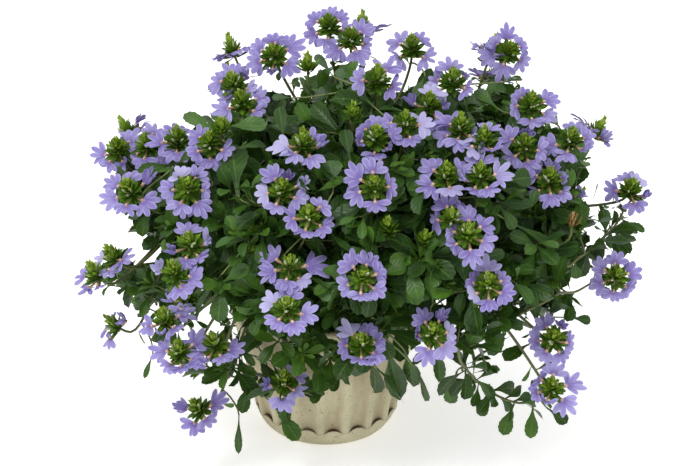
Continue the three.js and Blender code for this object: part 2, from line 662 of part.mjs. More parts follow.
// Shoots: each from the nearest stem that it can leave without crossing another
const shoots = [...heads, ...tips].map((bearer, index) => {
  const neck = along(bearer.place, bearer.axis, -NECK_BELOW);
  const routes = stemNumbers
    .map(stem => ({ stem, start: nearestOn(mainPath(stem), neck, FIRST_BEARING_STEP) }))
    .sort((a, b) => a.start.distanceTo(neck) - b.start.distanceTo(neck))
    .slice(0, ROUTES_TRIED)
    .flatMap(({ stem, start }) => BOWS.map(bow => ({ stem, path: shootPath(start, bearer, bow) })));
  const free = ({ stem, path }) => clear(floweringShoot(path, bearer, FIT_GAP), piece => piece.stem === stem);
  const { stem, path } = routes.find(free);
  keep(floweringShoot(path, bearer), stem, 'shoot', index);
  return { stem, path, bearer };
});

// Blooms: fans that would cut a stem or a spike are left out, and rings that cross are one piece
const rings = heads.map((bearer, index) => {
  const fans = bearer.fans.filter(hour => clear(bloom({ ...bearer, fans: [hour] }, FIT_GAP), () => false));
  const body = bloom({ ...bearer, fans });
  return { index, body, box: boxOf(body) };
});
const groups = [];
for (const ring of rings) {
  const meets = other => ring.box.intersectsBox(other.box) && crosses(ring.body, other.body);
  const met = groups.filter(group => group.some(meets));
  for (const group of met) groups.splice(groups.indexOf(group), 1);
  groups.push([ring, ...met.flat()]);
}
const firstIndex = group => Math.min(...group.map(ring => ring.index));
groups.sort((a, b) => firstIndex(a) - firstIndex(b));
for (const ring of rings) keep(ring.body, 'bloom', 'bloom', ring.index);

// Small leaves in a whorl under each head, and more of them on a tip without flowers
shoots.forEach(({ stem, bearer }, index) => {
  const flowering = bearer.fans.length > 0;
  for (let k = 0; k < (flowering ? WHORL_LEAVES : TIP_LEAVES); k++) {
    const face = Math.floor(rand(index + 40) * STEM_SIDES) + k;
    const angle = TURN * (face % STEM_SIDES + 0.5) / STEM_SIDES;
    const out = along(bearer.right.clone().multiplyScalar(Math.cos(angle)), bearer.top, Math.sin(angle));
    const root = along(along(bearer.place, bearer.axis, -WHORL_BELOW - WHORL_PITCH * k), out, -ROOT_SINK);
    const length = SMALL_LEAF * (SMALL_LEAST + SMALL_SPREAD * rand(index * 5 + k));
    const tip = along(along(root, out, length), bearer.axis, length * (flowering ? WHORL_DROOP : TIP_LIFT));
    const width = length * SMALL_WIDTH_SHARE;
    const build = extra => leaf(root, tip, bearer.axis, width, SMALL_OUTLINE, SMALL_ARCH, extra);
    const ownShoot = piece => piece.shoot === index && piece.kind === 'shoot';
    if (tip.z > LOWEST_TIP && clear(build(2 * FIT_GAP), ownShoot)) keep(build(0), stem, 'leaf', index);
  }
});

// Large leaf on its own stalk from one of the shoots near it, at the first depth where it is clear
function growLargeLeaf([rootAcross, rootDown, tipAcross, tipDown, width, reach]) {
  for (const depth of LEAF_DEPTHS) {
    const root = onMound(rootAcross, rootDown, reach * depth * ROOT_REACH);
    const tip = onMound(tipAcross, tipDown, reach * depth);
    const grow = tip.clone().sub(root).normalize();
    const effort = point => point.distanceTo(root)
      * (BACKWARD_COST - root.clone().sub(point).normalize().dot(grow));
    const joints = shoots
      .map((shoot, number) => ({ number, stem: shoot.stem, point: nearestOn(shoot.path, root, 0) }))
      .sort((a, b) => effort(a.point) - effort(b.point)).slice(0, JOINTS_TRIED);
    for (const { number, stem, point } of joints) {
      const start = along(point, tip.clone().sub(point).normalize(), -ROOT_SINK);
      const stalk = Math.max(0, 1 - tip.distanceTo(root) / tip.distanceTo(start));
      const edge = width < TOOTHED_WIDTH ? SMALL_OUTLINE : LARGE_OUTLINE;
      const neck = [stalk + STALK_EDGE[0], STALK_EDGE[1]];
      const outline = [neck, ...edge.map(([share, lateral]) => [stalk + share * (1 - stalk), lateral])];
      const build = extra => leaf(start, tip, LARGE_FACE, width, outline, LARGE_ARCH, extra);
      const ownShoot = piece => piece.shoot === number && piece.kind === 'shoot';
      if (tip.z > LOWEST_TIP && clear(build(2 * FIT_GAP), ownShoot)) {
        keep(build(0), stem, 'leaf', number);
        return;
      }
    }
  }
}
LARGE_LEAVES.forEach(growLargeLeaf);

// Outer mass of foliage at its largest size that is clear of the other stems and joins one of its own pieces
function fillMass(middle, seed) {
  const order = stemNumbers
    .map(stem => ({ stem, distance: nearestOn(mainPath(stem), middle, FIRST_BEARING_STEP).distanceTo(middle) }))
    .sort((a, b) => a.distance - b.distance).slice(0, ROUTES_TRIED);
  for (const size of MASS_SIZES) {
    const build = extra => core(middle, vec(1, 1, 1).multiplyScalar(size + extra), seed, MASS_ROWS, MASS_SIDES);
    const body = build(0);
    for (const { stem } of order) {
      const joins = placed.some(piece => piece.stem === stem && crosses(body, piece.body));
      if (joins && clear(build(2 * FIT_GAP), piece => piece.stem === stem)) {
        keep(body, stem, 'core');
        return;
      }
    }
  }
}
MASS_LEVELS.forEach(([height, count, reach]) => {
  for (let i = 0; i < count; i++) {
    const turn = MASS_TURNS[0] + (MASS_TURNS[1] - MASS_TURNS[0]) * (i + 0.5) / count;
    const out = facing(turn, height).multiply(MOUND_REACH).multiplyScalar(reach);
    fillMass(MOUND_MIDDLE.clone().add(out), height + i);
  }
});

// Assembly
function finish(color, roughness) {
  return new THREE.MeshStandardMaterial({ color, roughness, metalness: 0, flatShading: true });
}
const stone = finish(0xc8bea0, 0.85);
const earth = finish(0x2a211a, 1);
const leafGreen = finish(0x3f6a35, 0.6);
const violet = finish(0xa596d7, 0.65);

const plant = new THREE.Group();
plant.add(named('pot', potBody, stone));
plant.add(named('soil', soilBody, earth));
for (const number of stemNumbers) {
  const pieces = placed.filter(piece => piece.stem === number);
  plant.add(named(`leafy_stem_${number + 1}`, joined(pieces.map(piece => piece.body)), leafGreen));
}
groups.forEach((group, number) => {
  const name = `bloom_${String(number + 1).padStart(2, '0')}`;
  plant.add(named(name, joined(group.map(ring => ring.body)), violet));
});

export default plant;
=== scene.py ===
# Potted blue angel fan flower: the looks of the bowl, its soil, the leafy stems and the flower heads.
# Metres, +Z up, origin at the middle of the bowl's flat base, front of the plant towards -Y.
import math

import bpy
import numpy as np
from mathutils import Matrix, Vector


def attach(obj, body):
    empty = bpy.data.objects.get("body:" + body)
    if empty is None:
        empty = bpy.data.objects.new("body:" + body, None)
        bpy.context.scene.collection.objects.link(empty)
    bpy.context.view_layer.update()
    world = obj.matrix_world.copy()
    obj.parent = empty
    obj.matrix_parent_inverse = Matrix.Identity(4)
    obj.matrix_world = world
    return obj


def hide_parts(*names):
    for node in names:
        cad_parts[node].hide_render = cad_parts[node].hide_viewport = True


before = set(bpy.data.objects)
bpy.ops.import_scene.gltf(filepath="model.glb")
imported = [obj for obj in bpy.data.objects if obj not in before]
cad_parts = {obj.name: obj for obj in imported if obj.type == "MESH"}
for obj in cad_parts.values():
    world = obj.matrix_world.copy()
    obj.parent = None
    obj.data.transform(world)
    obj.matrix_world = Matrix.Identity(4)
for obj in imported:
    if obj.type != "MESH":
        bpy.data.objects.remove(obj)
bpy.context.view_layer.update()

MM = 0.001
DEG = math.pi / 180
TURN = 2 * math.pi
HOUR = 30 * DEG
GOLDEN = 137.508 * DEG
UP = np.array([0.0, 0.0, 1.0])
rng = np.random.default_rng(20)

# Front view that places are read in, 700 points wide and 466 high
VIEW_AIM = np.array([0.021, 0.0, 0.182])
VIEW_DISTANCE = 1.8
VIEW_RISE = 25 * DEG
VIEW_POINT = 0.87 * MM
VIEW_CENTRE = np.array([350, 233])
VIEW_WIDTH = 700

# Mound that the flower heads lie on, as an ellipsoid
MOUND_MIDDLE = np.array([0.032, 0.0, 0.195])
MOUND_REACH = np.array([0.232, 0.190, 0.160])

# Bowl
POT_HEIGHT = 130 * MM
BASE_RADIUS = 51 * MM
BASE_EDGE = [1.5 * MM, 0.8 * MM]
FOOT_RADIUS = 64.5 * MM
FOOT_HEIGHT = 17 * MM
RIM_RADIUS = 89 * MM
RIM_BAND = 12 * MM
LIP_RADIUS = 3.4 * MM
LIP_TURN = [-70, 250]
WALL = 7 * MM
POT_FLOOR = 10 * MM
INNER_BASE_RADIUS = 52 * MM
FLARE_POWER = 1.15
FLUTES = 18
FLUTE_SHARE = 0.82
ARCH_SHARE = 0.8
FLUTE_DEPTH = 3.3 * MM
FLUTE_TURN = 5.5
LEDGE_ARCH = 3.4 * MM
LEDGE_EDGE = 0.7 * MM
FLUTE_TOP_SHARE = 0.42
COLUMNS_PER_FLUTE = 20

# Soil
SOIL_TOP = 112 * MM
SOIL_DOME = 5 * MM
SOIL_GAP = 0.3 * MM
SOIL_COLUMNS = 72
SOIL_RINGS = 30
SOIL_ROUGH = 1.6 * MM
CRUMBS = 160
CRUMBS_INSIDE = 4 * MM
CRUMB_RADIUS = [1.0, 2.6]

# Stems
OUTER_STEMS = 6
MAIN_RADIUS = 2.0 * MM
SHOOT_RADIUS = 1.25 * MM
TWIG_RADIUS = 0.85 * MM
MAIN_SWELL = [1.15, 0.85]
SHOOT_SWELL = [1.1, 0.9]
STALK_SWELL = [1.1, 0.8]
THIN_SWELL = [1, 0.6]
STEM_FOOT = 83.4 * MM
OUTER_FOOT_RADIUS = 26 * MM
OUTER_EXIT = 122 * MM
OUTER_RUN = [[46, 158], [78, 184], [116, 196]]
OUTER_WIDENING = 1.1
OUTER_LEAN = 0.14
MIDDLE_RUN = [[0, 0, 125], [5, -2, 180], [14, 0, 225], [20, 0, 262]]
FIRST_BEARING_STEP = 2
SHOOT_INTO_HEAD = 2.6 * MM
NECK_BELOW = 9 * MM
NECK_BEND = 26 * MM
NECK_SHARE = 0.38
SHOOT_OUT = 0.35
SHOOT_RISE = 0.12
BOWS = [0, 0.12, -0.1, 0.25, -0.2, 0.4]
ROUTES_TRIED = 3
TOUCHING = 1.7 * MM

# Flower heads
LOW_HEAD_DOWN = 210
FAN_REACH = 24.5 * MM
LOBE_REACH = [0.80, 0.95, 1, 0.95, 0.80]
LOBE_SPREAD = [-1, -0.53, 0, 0.53, 1]
FAN_HALF_ANGLE = 41 * DEG
FAN_GAP_SHARE = 0.56
FAN_CUP = 0.16
FAN_SIZES = [0.9, 1.26]
FAN_TONES = [0.0, 0.8]
FAN_TURN_JITTER = 0.05
FAN_LIFT = [-3.0, 2.0]
FAN_TILT = [4, 15]
FAN_CENTRE = 16 * MM
CURLED_SHARE = 0.12
CURLED_LOBE = [(-1.6, 0.4), (0.5, 1.0)]
OPEN_LOBE = [(0.3, 0.4), (-0.3, 0.35)]
HUB_RADIUS = 5 * MM
THROAT_RADIUS = 12 * MM
THROAT_RISE = 0.6 * MM
LOBE_WIDTH = 5.5 * MM
LOBE_WIDTHS = [0.9, 1.08]
LOBE_LENGTHS = [0.90, 1.0]
LOBE_TWIST = 0.22
WIDE_GAPS = 2.4
TUBE_RADIUS = 1.15 * MM
TUBE_SWELL = [0.6, 0.65, 0.7, 0.78, 0.86, 1, 1.15, 1.0]
CUP_RADIUS = [1.0, 1.4]
TUBE_ROOT = [1.4 * MM, -1.0 * MM]
BUDS = [2, 5]
BUD_PLACE = [1.5, 3]
BUD_RISE = 3 * MM
BUD_LEAN = [0.2, 0.8]
BUD_LENGTH = [7, 10.5]
BUD_RADIUS = 1.0 * MM
BUD_SWELL = [0.7, 0.9, 1.1, 1.05, 0.7, 0.08]
PALE_DISTANCE = 13
PALE_BEFORE = 0.06
PALE_GAIN = 1.4
PALEST = 0.8

# Heads seen from the front: [across, down, turn to the right, rise above level, reach, fans' clock places].
# A twin shares the plane of the head before it.
TWIN = "twin"
FRONT_HEADS = [
    [329, 28, -5, 50, 1, [8, 10, 12, 1.5, 3, 6]], [350, 41, TWIN, [1.5, 3.5, 5.3, 7.3]],
    [274, 57, -5, 35, 1, [6, 8, 10, 12, 2, 4]], [412, 50, 0, 55, 1, [1, 4, 8, 10]],
    [508, 53, 5, 35, 1, [12, 2, 4, 7, 8.8, 10.5]], [234, 87, -15, 50, 1, [9.5, 11.5, 1.2, 3]],
    [243, 105, TWIN, [8, 9.7, 2, 3.8]], [452, 83, 5, 55, 1, [12, 2.3, 4, 8, 9.7]],
    [429, 108, TWIN, [9.5, 12.5, 3, 7, 5]], [119, 152, -15, 47, 1, [8.5, 7, 5, 1]],
    [148, 147, TWIN, [12.5, 3.5, 6, 7.8]], [131, 193, -20, 45, 1.02, [1.5, 3.7, 6, 8, 9.7, 11.3]],
    [188, 190, 0, 30, 1, [9, 11, 1, 3, 5, 7]], [211, 145, -5, 45, 0.97, [10, 8, 6, 4]],
    [303, 147, 5, 70, 1, [9, 7, 5.3, 3.2, 1.5]], [282, 192, 0, 45, 1, [9, 6.7, 4.2, 2.4, 11, 12.7]],
    [376, 140, 0, 50, 1, [8.5, 6.3, 4.3, 2.5, 10.5, 12.5]], [405, 125, TWIN, [3.3, 5.2, 9]],
    [374, 188, 0, 35, 1, [3, 6, 8.3, 12, 10.2]], [309, 218, 0, 50, 1, [9, 4.5, 6.5, 1.5]],
    [461, 131, 0, 70, 1, [8.5, 6.5, 4.8, 10.5]], [484, 143, TWIN, [8, 12.5, 10.5, 5]],
    [531, 107, 0, 50, 1, [12.5, 2.3, 4, 6, 9, 10.7]], [524, 148, TWIN, [7.5, 3.5, 5.5, 10, 12.3]],
    [570, 142, 10, 56, 1, [6.7, 4.8, 2.7, 1, 8.7]], [549, 183, TWIN, [8, 6.2, 4.5, 2.7, 10, 12.8]],
    [446, 178, -3, 60, 1, [8, 5.5, 2, 10]], [480, 178, TWIN, [2.7, 5, 8.5, 12, 6.8]],
    [629, 192, 15, 50, 1, [9.3, 12, 1.8, 3.7, 5.7]], [615, 278, 10, 30, 1, [12, 2.5, 4.5, 6.3, 8.5, 10.3]],
    [553, 340, 3, 38, 1, [11.3, 1, 3.5, 5.2, 7, 9]], [552, 389, TWIN, [8.7, 7, 10.5, 2.7, 4.4, 12.3]],
    [468, 236, -3, 42, 1, [7.7, 9.5, 5.7, 3.8, 1.7, 12]], [452, 221, TWIN, [9, 11.3, 1]],
    [488, 286, 0, 45, 1, [9.5, 7.8, 6, 4.4, 2.3, 12]],
    [433, 335, 0, 42, 0.95, [9, 11, 12.8, 2.6, 4.7, 6.8]],
    [362, 279, 0, 30, 1, [10.7, 12.6, 2.5, 4.3, 6.3, 8.3]],
    [361, 346, 0, 55, 0.93, [9, 10.9, 6, 4, 2.3, 12.7]], [290, 268, 0, 55, 0.95, [8.3, 10, 3, 4.8, 6.5]],
    [287, 310, TWIN, [10, 3.5, 7, 5.2, 12]], [284, 384, 0, 58, 0.93, [8.5, 6.4, 4.3, 1.7]],
    [215, 346, -18, 58, 0.98, [3, 6.3, 4.7, 9, 7.6]], [180, 353, TWIN, [9, 7, 5.4, 3.7, 1.5]],
    [200, 410, -45, 45, 1, [1.7, 3.7, 6, 8.5]], [117, 327, -75, 35, 1, [1, 6, 8.3]],
    [166, 322, -30, 62, 1, [3.7, 7.5, 5.7, 1.7]], [188, 300, TWIN, [8.5, 6, 10.5]],
    [115, 259, -60, 50, 1, [8, 5, 2.5]], [97, 276, TWIN, [7.8, 4, 6]],
    [190, 246, -10, 50, 1, [8, 6.3, 4.5, 2.5, 11.5]], [175, 274, TWIN, [3, 9, 5]],
    [377, 82, 5, 60, 1, [1.5, 4, 9]], [177, 143, 8, 66, 0.9, [12, 3, 6, 9]],
]

# Heads on the far side: rows round the mound, each [height angle, first turn, last turn, heads]
BACK_ROWS = [[52, 128, 232, 3], [20, 110, 250, 5], [-10, 122, 238, 4]]
BACK_FANS = [1, 5, 9]
BACK_FAN_SHIFT = 0.7
BACK_STAGGER = 8
BACK_RISE = 30
BACK_RISE_SHARE = 0.6
BACK_EXTRA_FANS = [3, 7, 11]

# Fans that have turned pale, by their place in the view
PALE_PLACES = [
    (267, 190), (302, 192), (287, 150), (434, 95), (473, 147), (492, 172), (497, 270), (452, 325),
    (438, 342), (418, 128), (452, 186), (300, 290), (265, 298), (105, 265), (157, 273), (182, 172),
    (362, 287), (345, 330), (370, 30), (243, 92), (635, 180), (203, 247), (296, 385), (548, 398),
    (475, 292),
]

# Large leaves seen from the front: [root across, root down, tip across, tip down, width in mm, reach]
LARGE_LEAVES = [
    [223, 140, 182, 109, 12, 1.02], [227, 127, 262, 121, 19, 1], [238, 196, 231, 138, 25, 0.96],
    [221, 126, 195, 112, 9, 0.97], [284, 141, 279, 106, 11, 0.95], [350, 161, 345, 128, 12, 1],
    [334, 186, 330, 160, 19, 0.98], [503, 181, 531, 176, 17, 0.98], [377, 200, 333, 216, 14, 0.93],
    [417, 160, 447, 153, 12, 0.93], [285, 254, 261, 279, 17, 0.92], [222, 274, 187, 315, 12, 0.97],
    [166, 290, 140, 312, 20, 0.94], [553, 291, 563, 258, 18, 0.95], [545, 284, 560, 326, 20, 0.93],
    [510, 222, 567, 250, 14, 0.93], [466, 333, 498, 363, 24, 0.93], [491, 310, 520, 317, 15, 0.9],
    [376, 368, 409, 397, 19, 0.87], [413, 365, 434, 392, 14, 0.87], [457, 371, 448, 406, 13, 0.9],
    [493, 393, 479, 411, 12, 0.95], [514, 404, 502, 433, 13, 0.95], [533, 404, 531, 437, 12, 0.95],
    [547, 408, 567, 422, 12, 0.95], [528, 345, 507, 355, 16, 0.95], [276, 408, 298, 439, 15, 0.76],
    [239, 414, 238, 452, 7, 0.85], [251, 380, 240, 411, 12, 0.82], [153, 354, 144, 377, 5, 0.97],
    [570, 318, 591, 320, 9, 0.95], [610, 226, 591, 215, 8, 0.98], [620, 221, 605, 212, 7, 0.98],
    [625, 221, 645, 230, 7, 0.98], [606, 240, 620, 263, 9, 0.97], [580, 250, 598, 258, 8, 0.93],
    [373, 106, 348, 82, 15, 0.95], [342, 93, 340, 61, 8, 0.97], [333, 76, 315, 52, 8, 0.97],
    [425, 76, 415, 94, 8, 0.95], [426, 83, 446, 70, 8, 0.95], [498, 109, 476, 89, 12, 0.97],
    [503, 82, 523, 72, 9, 0.97], [293, 98, 272, 96, 6, 0.95], [175, 145, 174, 127, 7, 0.95],
    [213, 183, 201, 167, 9, 0.95], [176, 166, 193, 149, 10, 0.95], [588, 249, 607, 242, 9, 0.95],
    [606, 236, 600, 219, 10, 0.95], [612, 230, 630, 223, 9, 0.95], [574, 260, 578, 279, 10, 0.95],
    [548, 277, 514, 265, 13, 0.93], [352, 352, 362, 377, 15, 0.87], [370, 352, 381, 386, 18, 0.87],
    [388, 350, 398, 384, 20, 0.87], [404, 350, 416, 378, 16, 0.87], [436, 346, 444, 371, 12, 0.87],
    [455, 350, 474, 368, 13, 0.9], [470, 300, 486, 330, 20, 0.93], [478, 320, 468, 348, 17, 0.93],
    [300, 370, 288, 398, 14, 0.82], [322, 380, 312, 402, 11, 0.8], [268, 374, 262, 396, 12, 0.82],
    [342, 372, 331, 390, 10, 0.84],
]
BRIGHT_LEAVES = 2

# Young leafy tips without flowers: [across, down, turn, rise, reach]
LEAFY_TIPS = [
    [353, 120, 0, 65, 0.97], [222, 133, 0, 50, 1], [308, 72, 0, 75, 0.95], [388, 233, 0, 55, 0.92],
    [425, 245, 0, 60, 0.92], [572, 226, 5, 75, 0.97],
]

# Outline of the dense foliage in the view, and the openings in it where the background shows
OUTLINE = [
    (262, 112), (283, 98), (296, 80), (318, 66), (345, 58), (372, 64), (386, 84), (398, 96), (412, 82),
    (432, 72), (446, 92), (470, 98), (484, 84), (500, 74), (522, 84), (532, 104), (560, 118), (586, 140),
    (590, 162), (576, 186), (592, 206), (604, 224), (610, 240), (592, 256), (577, 264), (566, 286),
    (576, 308), (562, 326), (540, 330), (524, 350), (510, 352), (500, 364), (488, 350), (478, 364),
    (462, 372), (450, 376), (436, 390), (412, 398), (392, 390), (374, 376), (345, 374), (328, 380),
    (318, 402), (300, 416), (282, 418), (262, 398), (248, 390), (242, 412), (226, 416), (206, 430),
    (192, 420), (194, 396), (180, 382), (166, 374), (150, 352), (122, 346), (106, 332), (112, 318),
    (134, 322), (142, 312), (134, 304), (104, 298), (82, 290), (78, 270), (100, 246), (128, 244),
    (142, 240), (132, 226), (120, 216), (112, 200), (116, 180), (108, 160), (112, 140), (130, 130),
    (160, 134), (176, 128), (192, 140), (196, 118), (212, 112), (228, 118), (244, 112),
]
OPENINGS = [
    [274, 93, 12, 8], [146, 254, 17, 12], [150, 323, 15, 10], [204, 317, 8, 15], [234, 383, 7, 12],
    [300, 92, 6, 8], [326, 82, 5, 8], [257, 135, 7, 5], [161, 213, 6, 6], [533, 228, 9, 8],
    [593, 230, 8, 12], [402, 72, 12, 12], [518, 336, 9, 12], [585, 284, 12, 12], [210, 398, 7, 7],
]

# Leafy branches that hang free of the bush, by places along them in the view
BRANCHES = [
    [(456, 344), (461, 362), (479, 383), (500, 397), (524, 403), (546, 392)],
    [(548, 300), (560, 293), (575, 292), (590, 284)],
    [(566, 266), (578, 258), (592, 248), (604, 237), (614, 227), (622, 214), (626, 204)],
]
BRANCH_REACH = 0.92
BRANCH_RADIUS = 1.5 * MM
BRANCH_LEAF_LENGTH = [20 * MM, 30 * MM]
LEAVES_PER_PLACE = 5

# Foliage
LEAF_LENGTH = [22 * MM, 40 * MM]
WHORL_LENGTH = [13 * MM, 26 * MM]
LEAVES_PER_SHOOT = 12
SHOOT_LEAFY = 75 * MM
SHOOT_FREE = 42 * MM
TWIG_LENGTH = 55 * MM
TWIG_OUT = 0.4
TWIG_RISE = 0.3
TWIG_BEND = 0.4
TWIG_RINGS = 9
TWIGS_ACROSS = [75, 615]
TWIGS_DOWN = [55, 432]
LOWEST_TWIG = 20 * MM
TRIES = 6000
FEWEST_LEAVES = 3
CLOSEST_JOINT = 8 * MM
BEND_COST = 1.7
YOUNG_SHARE = 0.4
YOUNG_LEAVES = [7, 12]
YOUNG_PITCH = [62, 10]
YOUNG_LENGTH = [15, 8]
YOUNG_WIDTH = 0.3
YOUNG_TINT = [0.5, 0.85]
YOUNG_DEPTH = 4 * MM
BACK_FROM = -15 * MM
LARGE_FACE = np.array([0, -0.5, 0.85])
LARGE_DEPTHS = [1, 0.96, 1.03, 0.92, 0.88, 1.07]
LARGE_DEPTH_ELSE = 0.97
ROOT_REACH = 0.97
BRIGHT_TINT = 0.46
CURL_LENGTH = 1.03
AT_STEM = 1.0 * MM

# Dark inner masses, painted shade deep in the foliage. A level of the far side is [height angle, masses,
# reach].
CORE_ROWS = 16
CORE_COLUMNS = 24
CORE_REACH = np.array([33, 33, 38]) * MM
TOP_CORE_REACH = np.array([37, 37, 37]) * MM
TOP_CORE_MIDDLE = np.array([17, 0, 250]) * MM
SIDE_CORE_SHARE = 0.4
SIDE_CORE_LIFT = 4 * MM
FAR_TURNS = [75, 285]
MASS_LEVELS = [[-8, 5, 0.62], [24, 5, 0.62], [55, 3, 0.62], [-40, 3, 0.4]]
MASS_RADIUS = 25 * MM
MASS_LEAVES = 56
MASS_LEAF_SHARE = 0.85
HIDDEN_BELOW = -0.3

# Twigs on the front, on the far side and within: how many and how far apart, how they point, what they bear
TWIG_KINDS = [
    dict(count=260, gap=12 * MM, out=0.6, lean=(0, -0.35, 0.55), jitter=0.25, leaves=9, tints=(0.12, 0.45),
         longest=120 * MM, reaches=(0.7, 0.98)),
    dict(count=230, gap=12 * MM, out=0.7, lean=(0, 0, 0.5), jitter=0.25, leaves=9, tints=(0.12, 0.5),
         longest=170 * MM, turns=FAR_TURNS, rises=(-0.7, 1), reaches=(0.72, 0.97)),
    # The twigs within get the lowest tints: painted shade that darkens the leaves inside the bush.
    dict(count=120, gap=0, out=0.8, lean=(0, 0, 0.4), jitter=0.3, leaves=7, tints=(0.0, 0.15),
         longest=170 * MM, turns=(0, 360), rises=(-0.6, 0.95), reaches=(0.45, 0.68)),
]


# Directions and shares
def unit(vector):
    return vector / np.linalg.norm(vector, axis=-1, keepdims=True)


def across_to(vector, axis):
    """The part of vector that is square to axis, at length 1."""
    return unit(vector - axis * np.sum(vector * axis, axis=-1, keepdims=True))


def between(ends, share):
    """The value at share of the way from the first end to the second."""
    return ends[0] + (ends[1] - ends[0]) * share


def turned(start, other, angle):
    """Direction at an angle from start towards other."""
    return start * math.cos(angle) + other * math.sin(angle)


# Places in the front view
VIEW_AHEAD = np.array([0, math.cos(VIEW_RISE), -math.sin(VIEW_RISE)])
VIEW_UP = np.array([0, math.sin(VIEW_RISE), math.cos(VIEW_RISE)])
EYE = VIEW_AIM - VIEW_AHEAD * VIEW_DISTANCE


def sight(across, down):
    offset = np.array([1.0, 0, 0]) * (across - VIEW_CENTRE[0]) + VIEW_UP * (VIEW_CENTRE[1] - down)
    return unit(VIEW_AIM + offset * VIEW_POINT - EYE)


def on_mound(across, down, reach):
    """Where the sight ray of a place in the view meets the mound, grown by reach."""
    ray = sight(across, down)
    size = MOUND_REACH * reach
    start = (EYE - MOUND_MIDDLE) / size
    step = ray / size
    a, b, c = step @ step, start @ step, start @ start - 1
    return EYE + ray * (-b - math.sqrt(max(0, b * b - a * c))) / a


def in_view(points):
    """Across, down and depth of points in the front view."""
    offset = points - EYE
    depth = offset @ VIEW_AHEAD
    scale = VIEW_DISTANCE / VIEW_POINT / depth
    return VIEW_CENTRE[0] + offset[..., 0] * scale, VIEW_CENTRE[1] - (offset @ VIEW_UP) * scale, depth


def inside_outline(across, down):
    starts = np.array(OUTLINE, float)
    ends = np.roll(starts, -1, axis=0)
    x, y = np.asarray(across)[..., None], np.asarray(down)[..., None]
    passes = (starts[:, 1] > y) != (ends[:, 1] > y)
    share = (y - starts[:, 1]) / (ends[:, 1] - starts[:, 1] + 1e-9)
    return np.sum(passes & (x < starts[:, 0] + share * (ends[:, 0] - starts[:, 0])), axis=-1) % 2 == 1


def in_openings(across, down):
    x, y, wide, high = np.array(OPENINGS, float).T
    across, down = np.asarray(across)[..., None], np.asarray(down)[..., None]
    return np.any(((across - x) / wide) ** 2 + ((down - y) / high) ** 2 < 1, axis=-1)


# Meshes gathered from grids of points
class Skin:
    """Grids of points with values for the materials, gathered into one mesh."""

    NAMES = ("along", "across", "tint", "pale")

    def __init__(self):
        self.points, self.quads, self.slots, self.values, self.count = [], [], [], [], 0

    def grids(self, points, slot, closed=False, **values):
        """points has the shape (grids, rows, columns, 3). Each value fits (grids, rows, columns)."""
        shape = points.shape[:3]
        index = np.arange(np.prod(shape)).reshape(shape) + self.count
        after = np.roll(index, -1, axis=2) if closed else index[:, :, 1:]
        now = index if closed else index[:, :, :-1]
        quads = np.stack([now[:, :-1], after[:, :-1], after[:, 1:], now[:, 1:]], axis=-1).reshape(-1, 4)
        self.points.append(points.reshape(-1, 3))
        self.quads.append(quads)
        self.slots.append(np.full(len(quads), slot))
        numbers = [np.broadcast_to(values.get(name, 0.0), shape).reshape(-1) for name in self.NAMES]
        self.values.append(numbers)
        self.count += index.size

    def tube(self, path, radius, swell, sides, slot, **values):
        """Rings round a path. swell holds the share of radius at both ends, or at every ring."""
        radii = radius * np.array(swell)
        if len(swell) == 2:
            radii = np.linspace(*radii, len(path))
        ahead = unit(np.gradient(path, axis=0))
        side = across_to(np.array([0.31, 0.87, 0.38]), ahead[0])
        angles = np.arange(sides)[:, None] * TURN / sides
        rings = []
        for point, direction, radius in zip(path, ahead, radii):
            side = across_to(side, direction)
            other = np.cross(direction, side)
            rings.append(point + radius * (np.cos(angles) * side + np.sin(angles) * other))
        self.grids(np.array(rings)[None], slot, closed=True, **values)

    def build(self, name, materials):
        points, quads = np.concatenate(self.points), np.concatenate(self.quads)
        mesh = bpy.data.meshes.new(name)
        mesh.vertices.add(len(points))
        mesh.vertices.foreach_set("co", points.astype(np.float32).ravel())
        mesh.loops.add(quads.size)
        mesh.loops.foreach_set("vertex_index", quads.ravel().astype(np.int32))
        mesh.polygons.add(len(quads))
        mesh.polygons.foreach_set("loop_start", np.arange(0, quads.size, 4, dtype=np.int32))
        mesh.polygons.foreach_set("material_index", np.concatenate(self.slots).astype(np.int32))
        mesh.polygons.foreach_set("use_smooth", np.ones(len(quads), dtype=bool))
        for label, values in zip(self.NAMES, np.concatenate(self.values, axis=1)):
            mesh.attributes.new(label, "FLOAT", "POINT").data.foreach_set("value", values.astype(np.float32))
        mesh.update(calc_edges=True)
        for material in materials:
            mesh.materials.append(material)
        return add_object(name, mesh)


def add_object(name, data):
    thing = bpy.data.objects.new(name, data)
    bpy.context.scene.collection.objects.link(thing)
    return thing


def bezier(a, b, c, d, steps):
    t = np.linspace(0, 1, steps)[:, None]
    return (1 - t) ** 3 * a + 3 * (1 - t) ** 2 * t * b + 3 * (1 - t) * t ** 2 * c + t ** 3 * d


def smooth_path(points, steps):
    """Path through points, rounded between them."""
    points = np.asarray(points, float)
    padded = np.vstack([2 * points[0] - points[1], points, 2 * points[-1] - points[-2]])
    out = []
    for i in range(len(points) - 1):
        p, q, r, s = padded[i:i + 4]
        for t in np.linspace(0, 1, steps, endpoint=False):
            out.append(0.5 * (2 * q + (r - p) * t + (2 * p - 5 * q + 4 * r - s) * t ** 2
                              + (3 * q - p - 3 * r + s) * t ** 3))
    return np.array(out + [points[-1]])


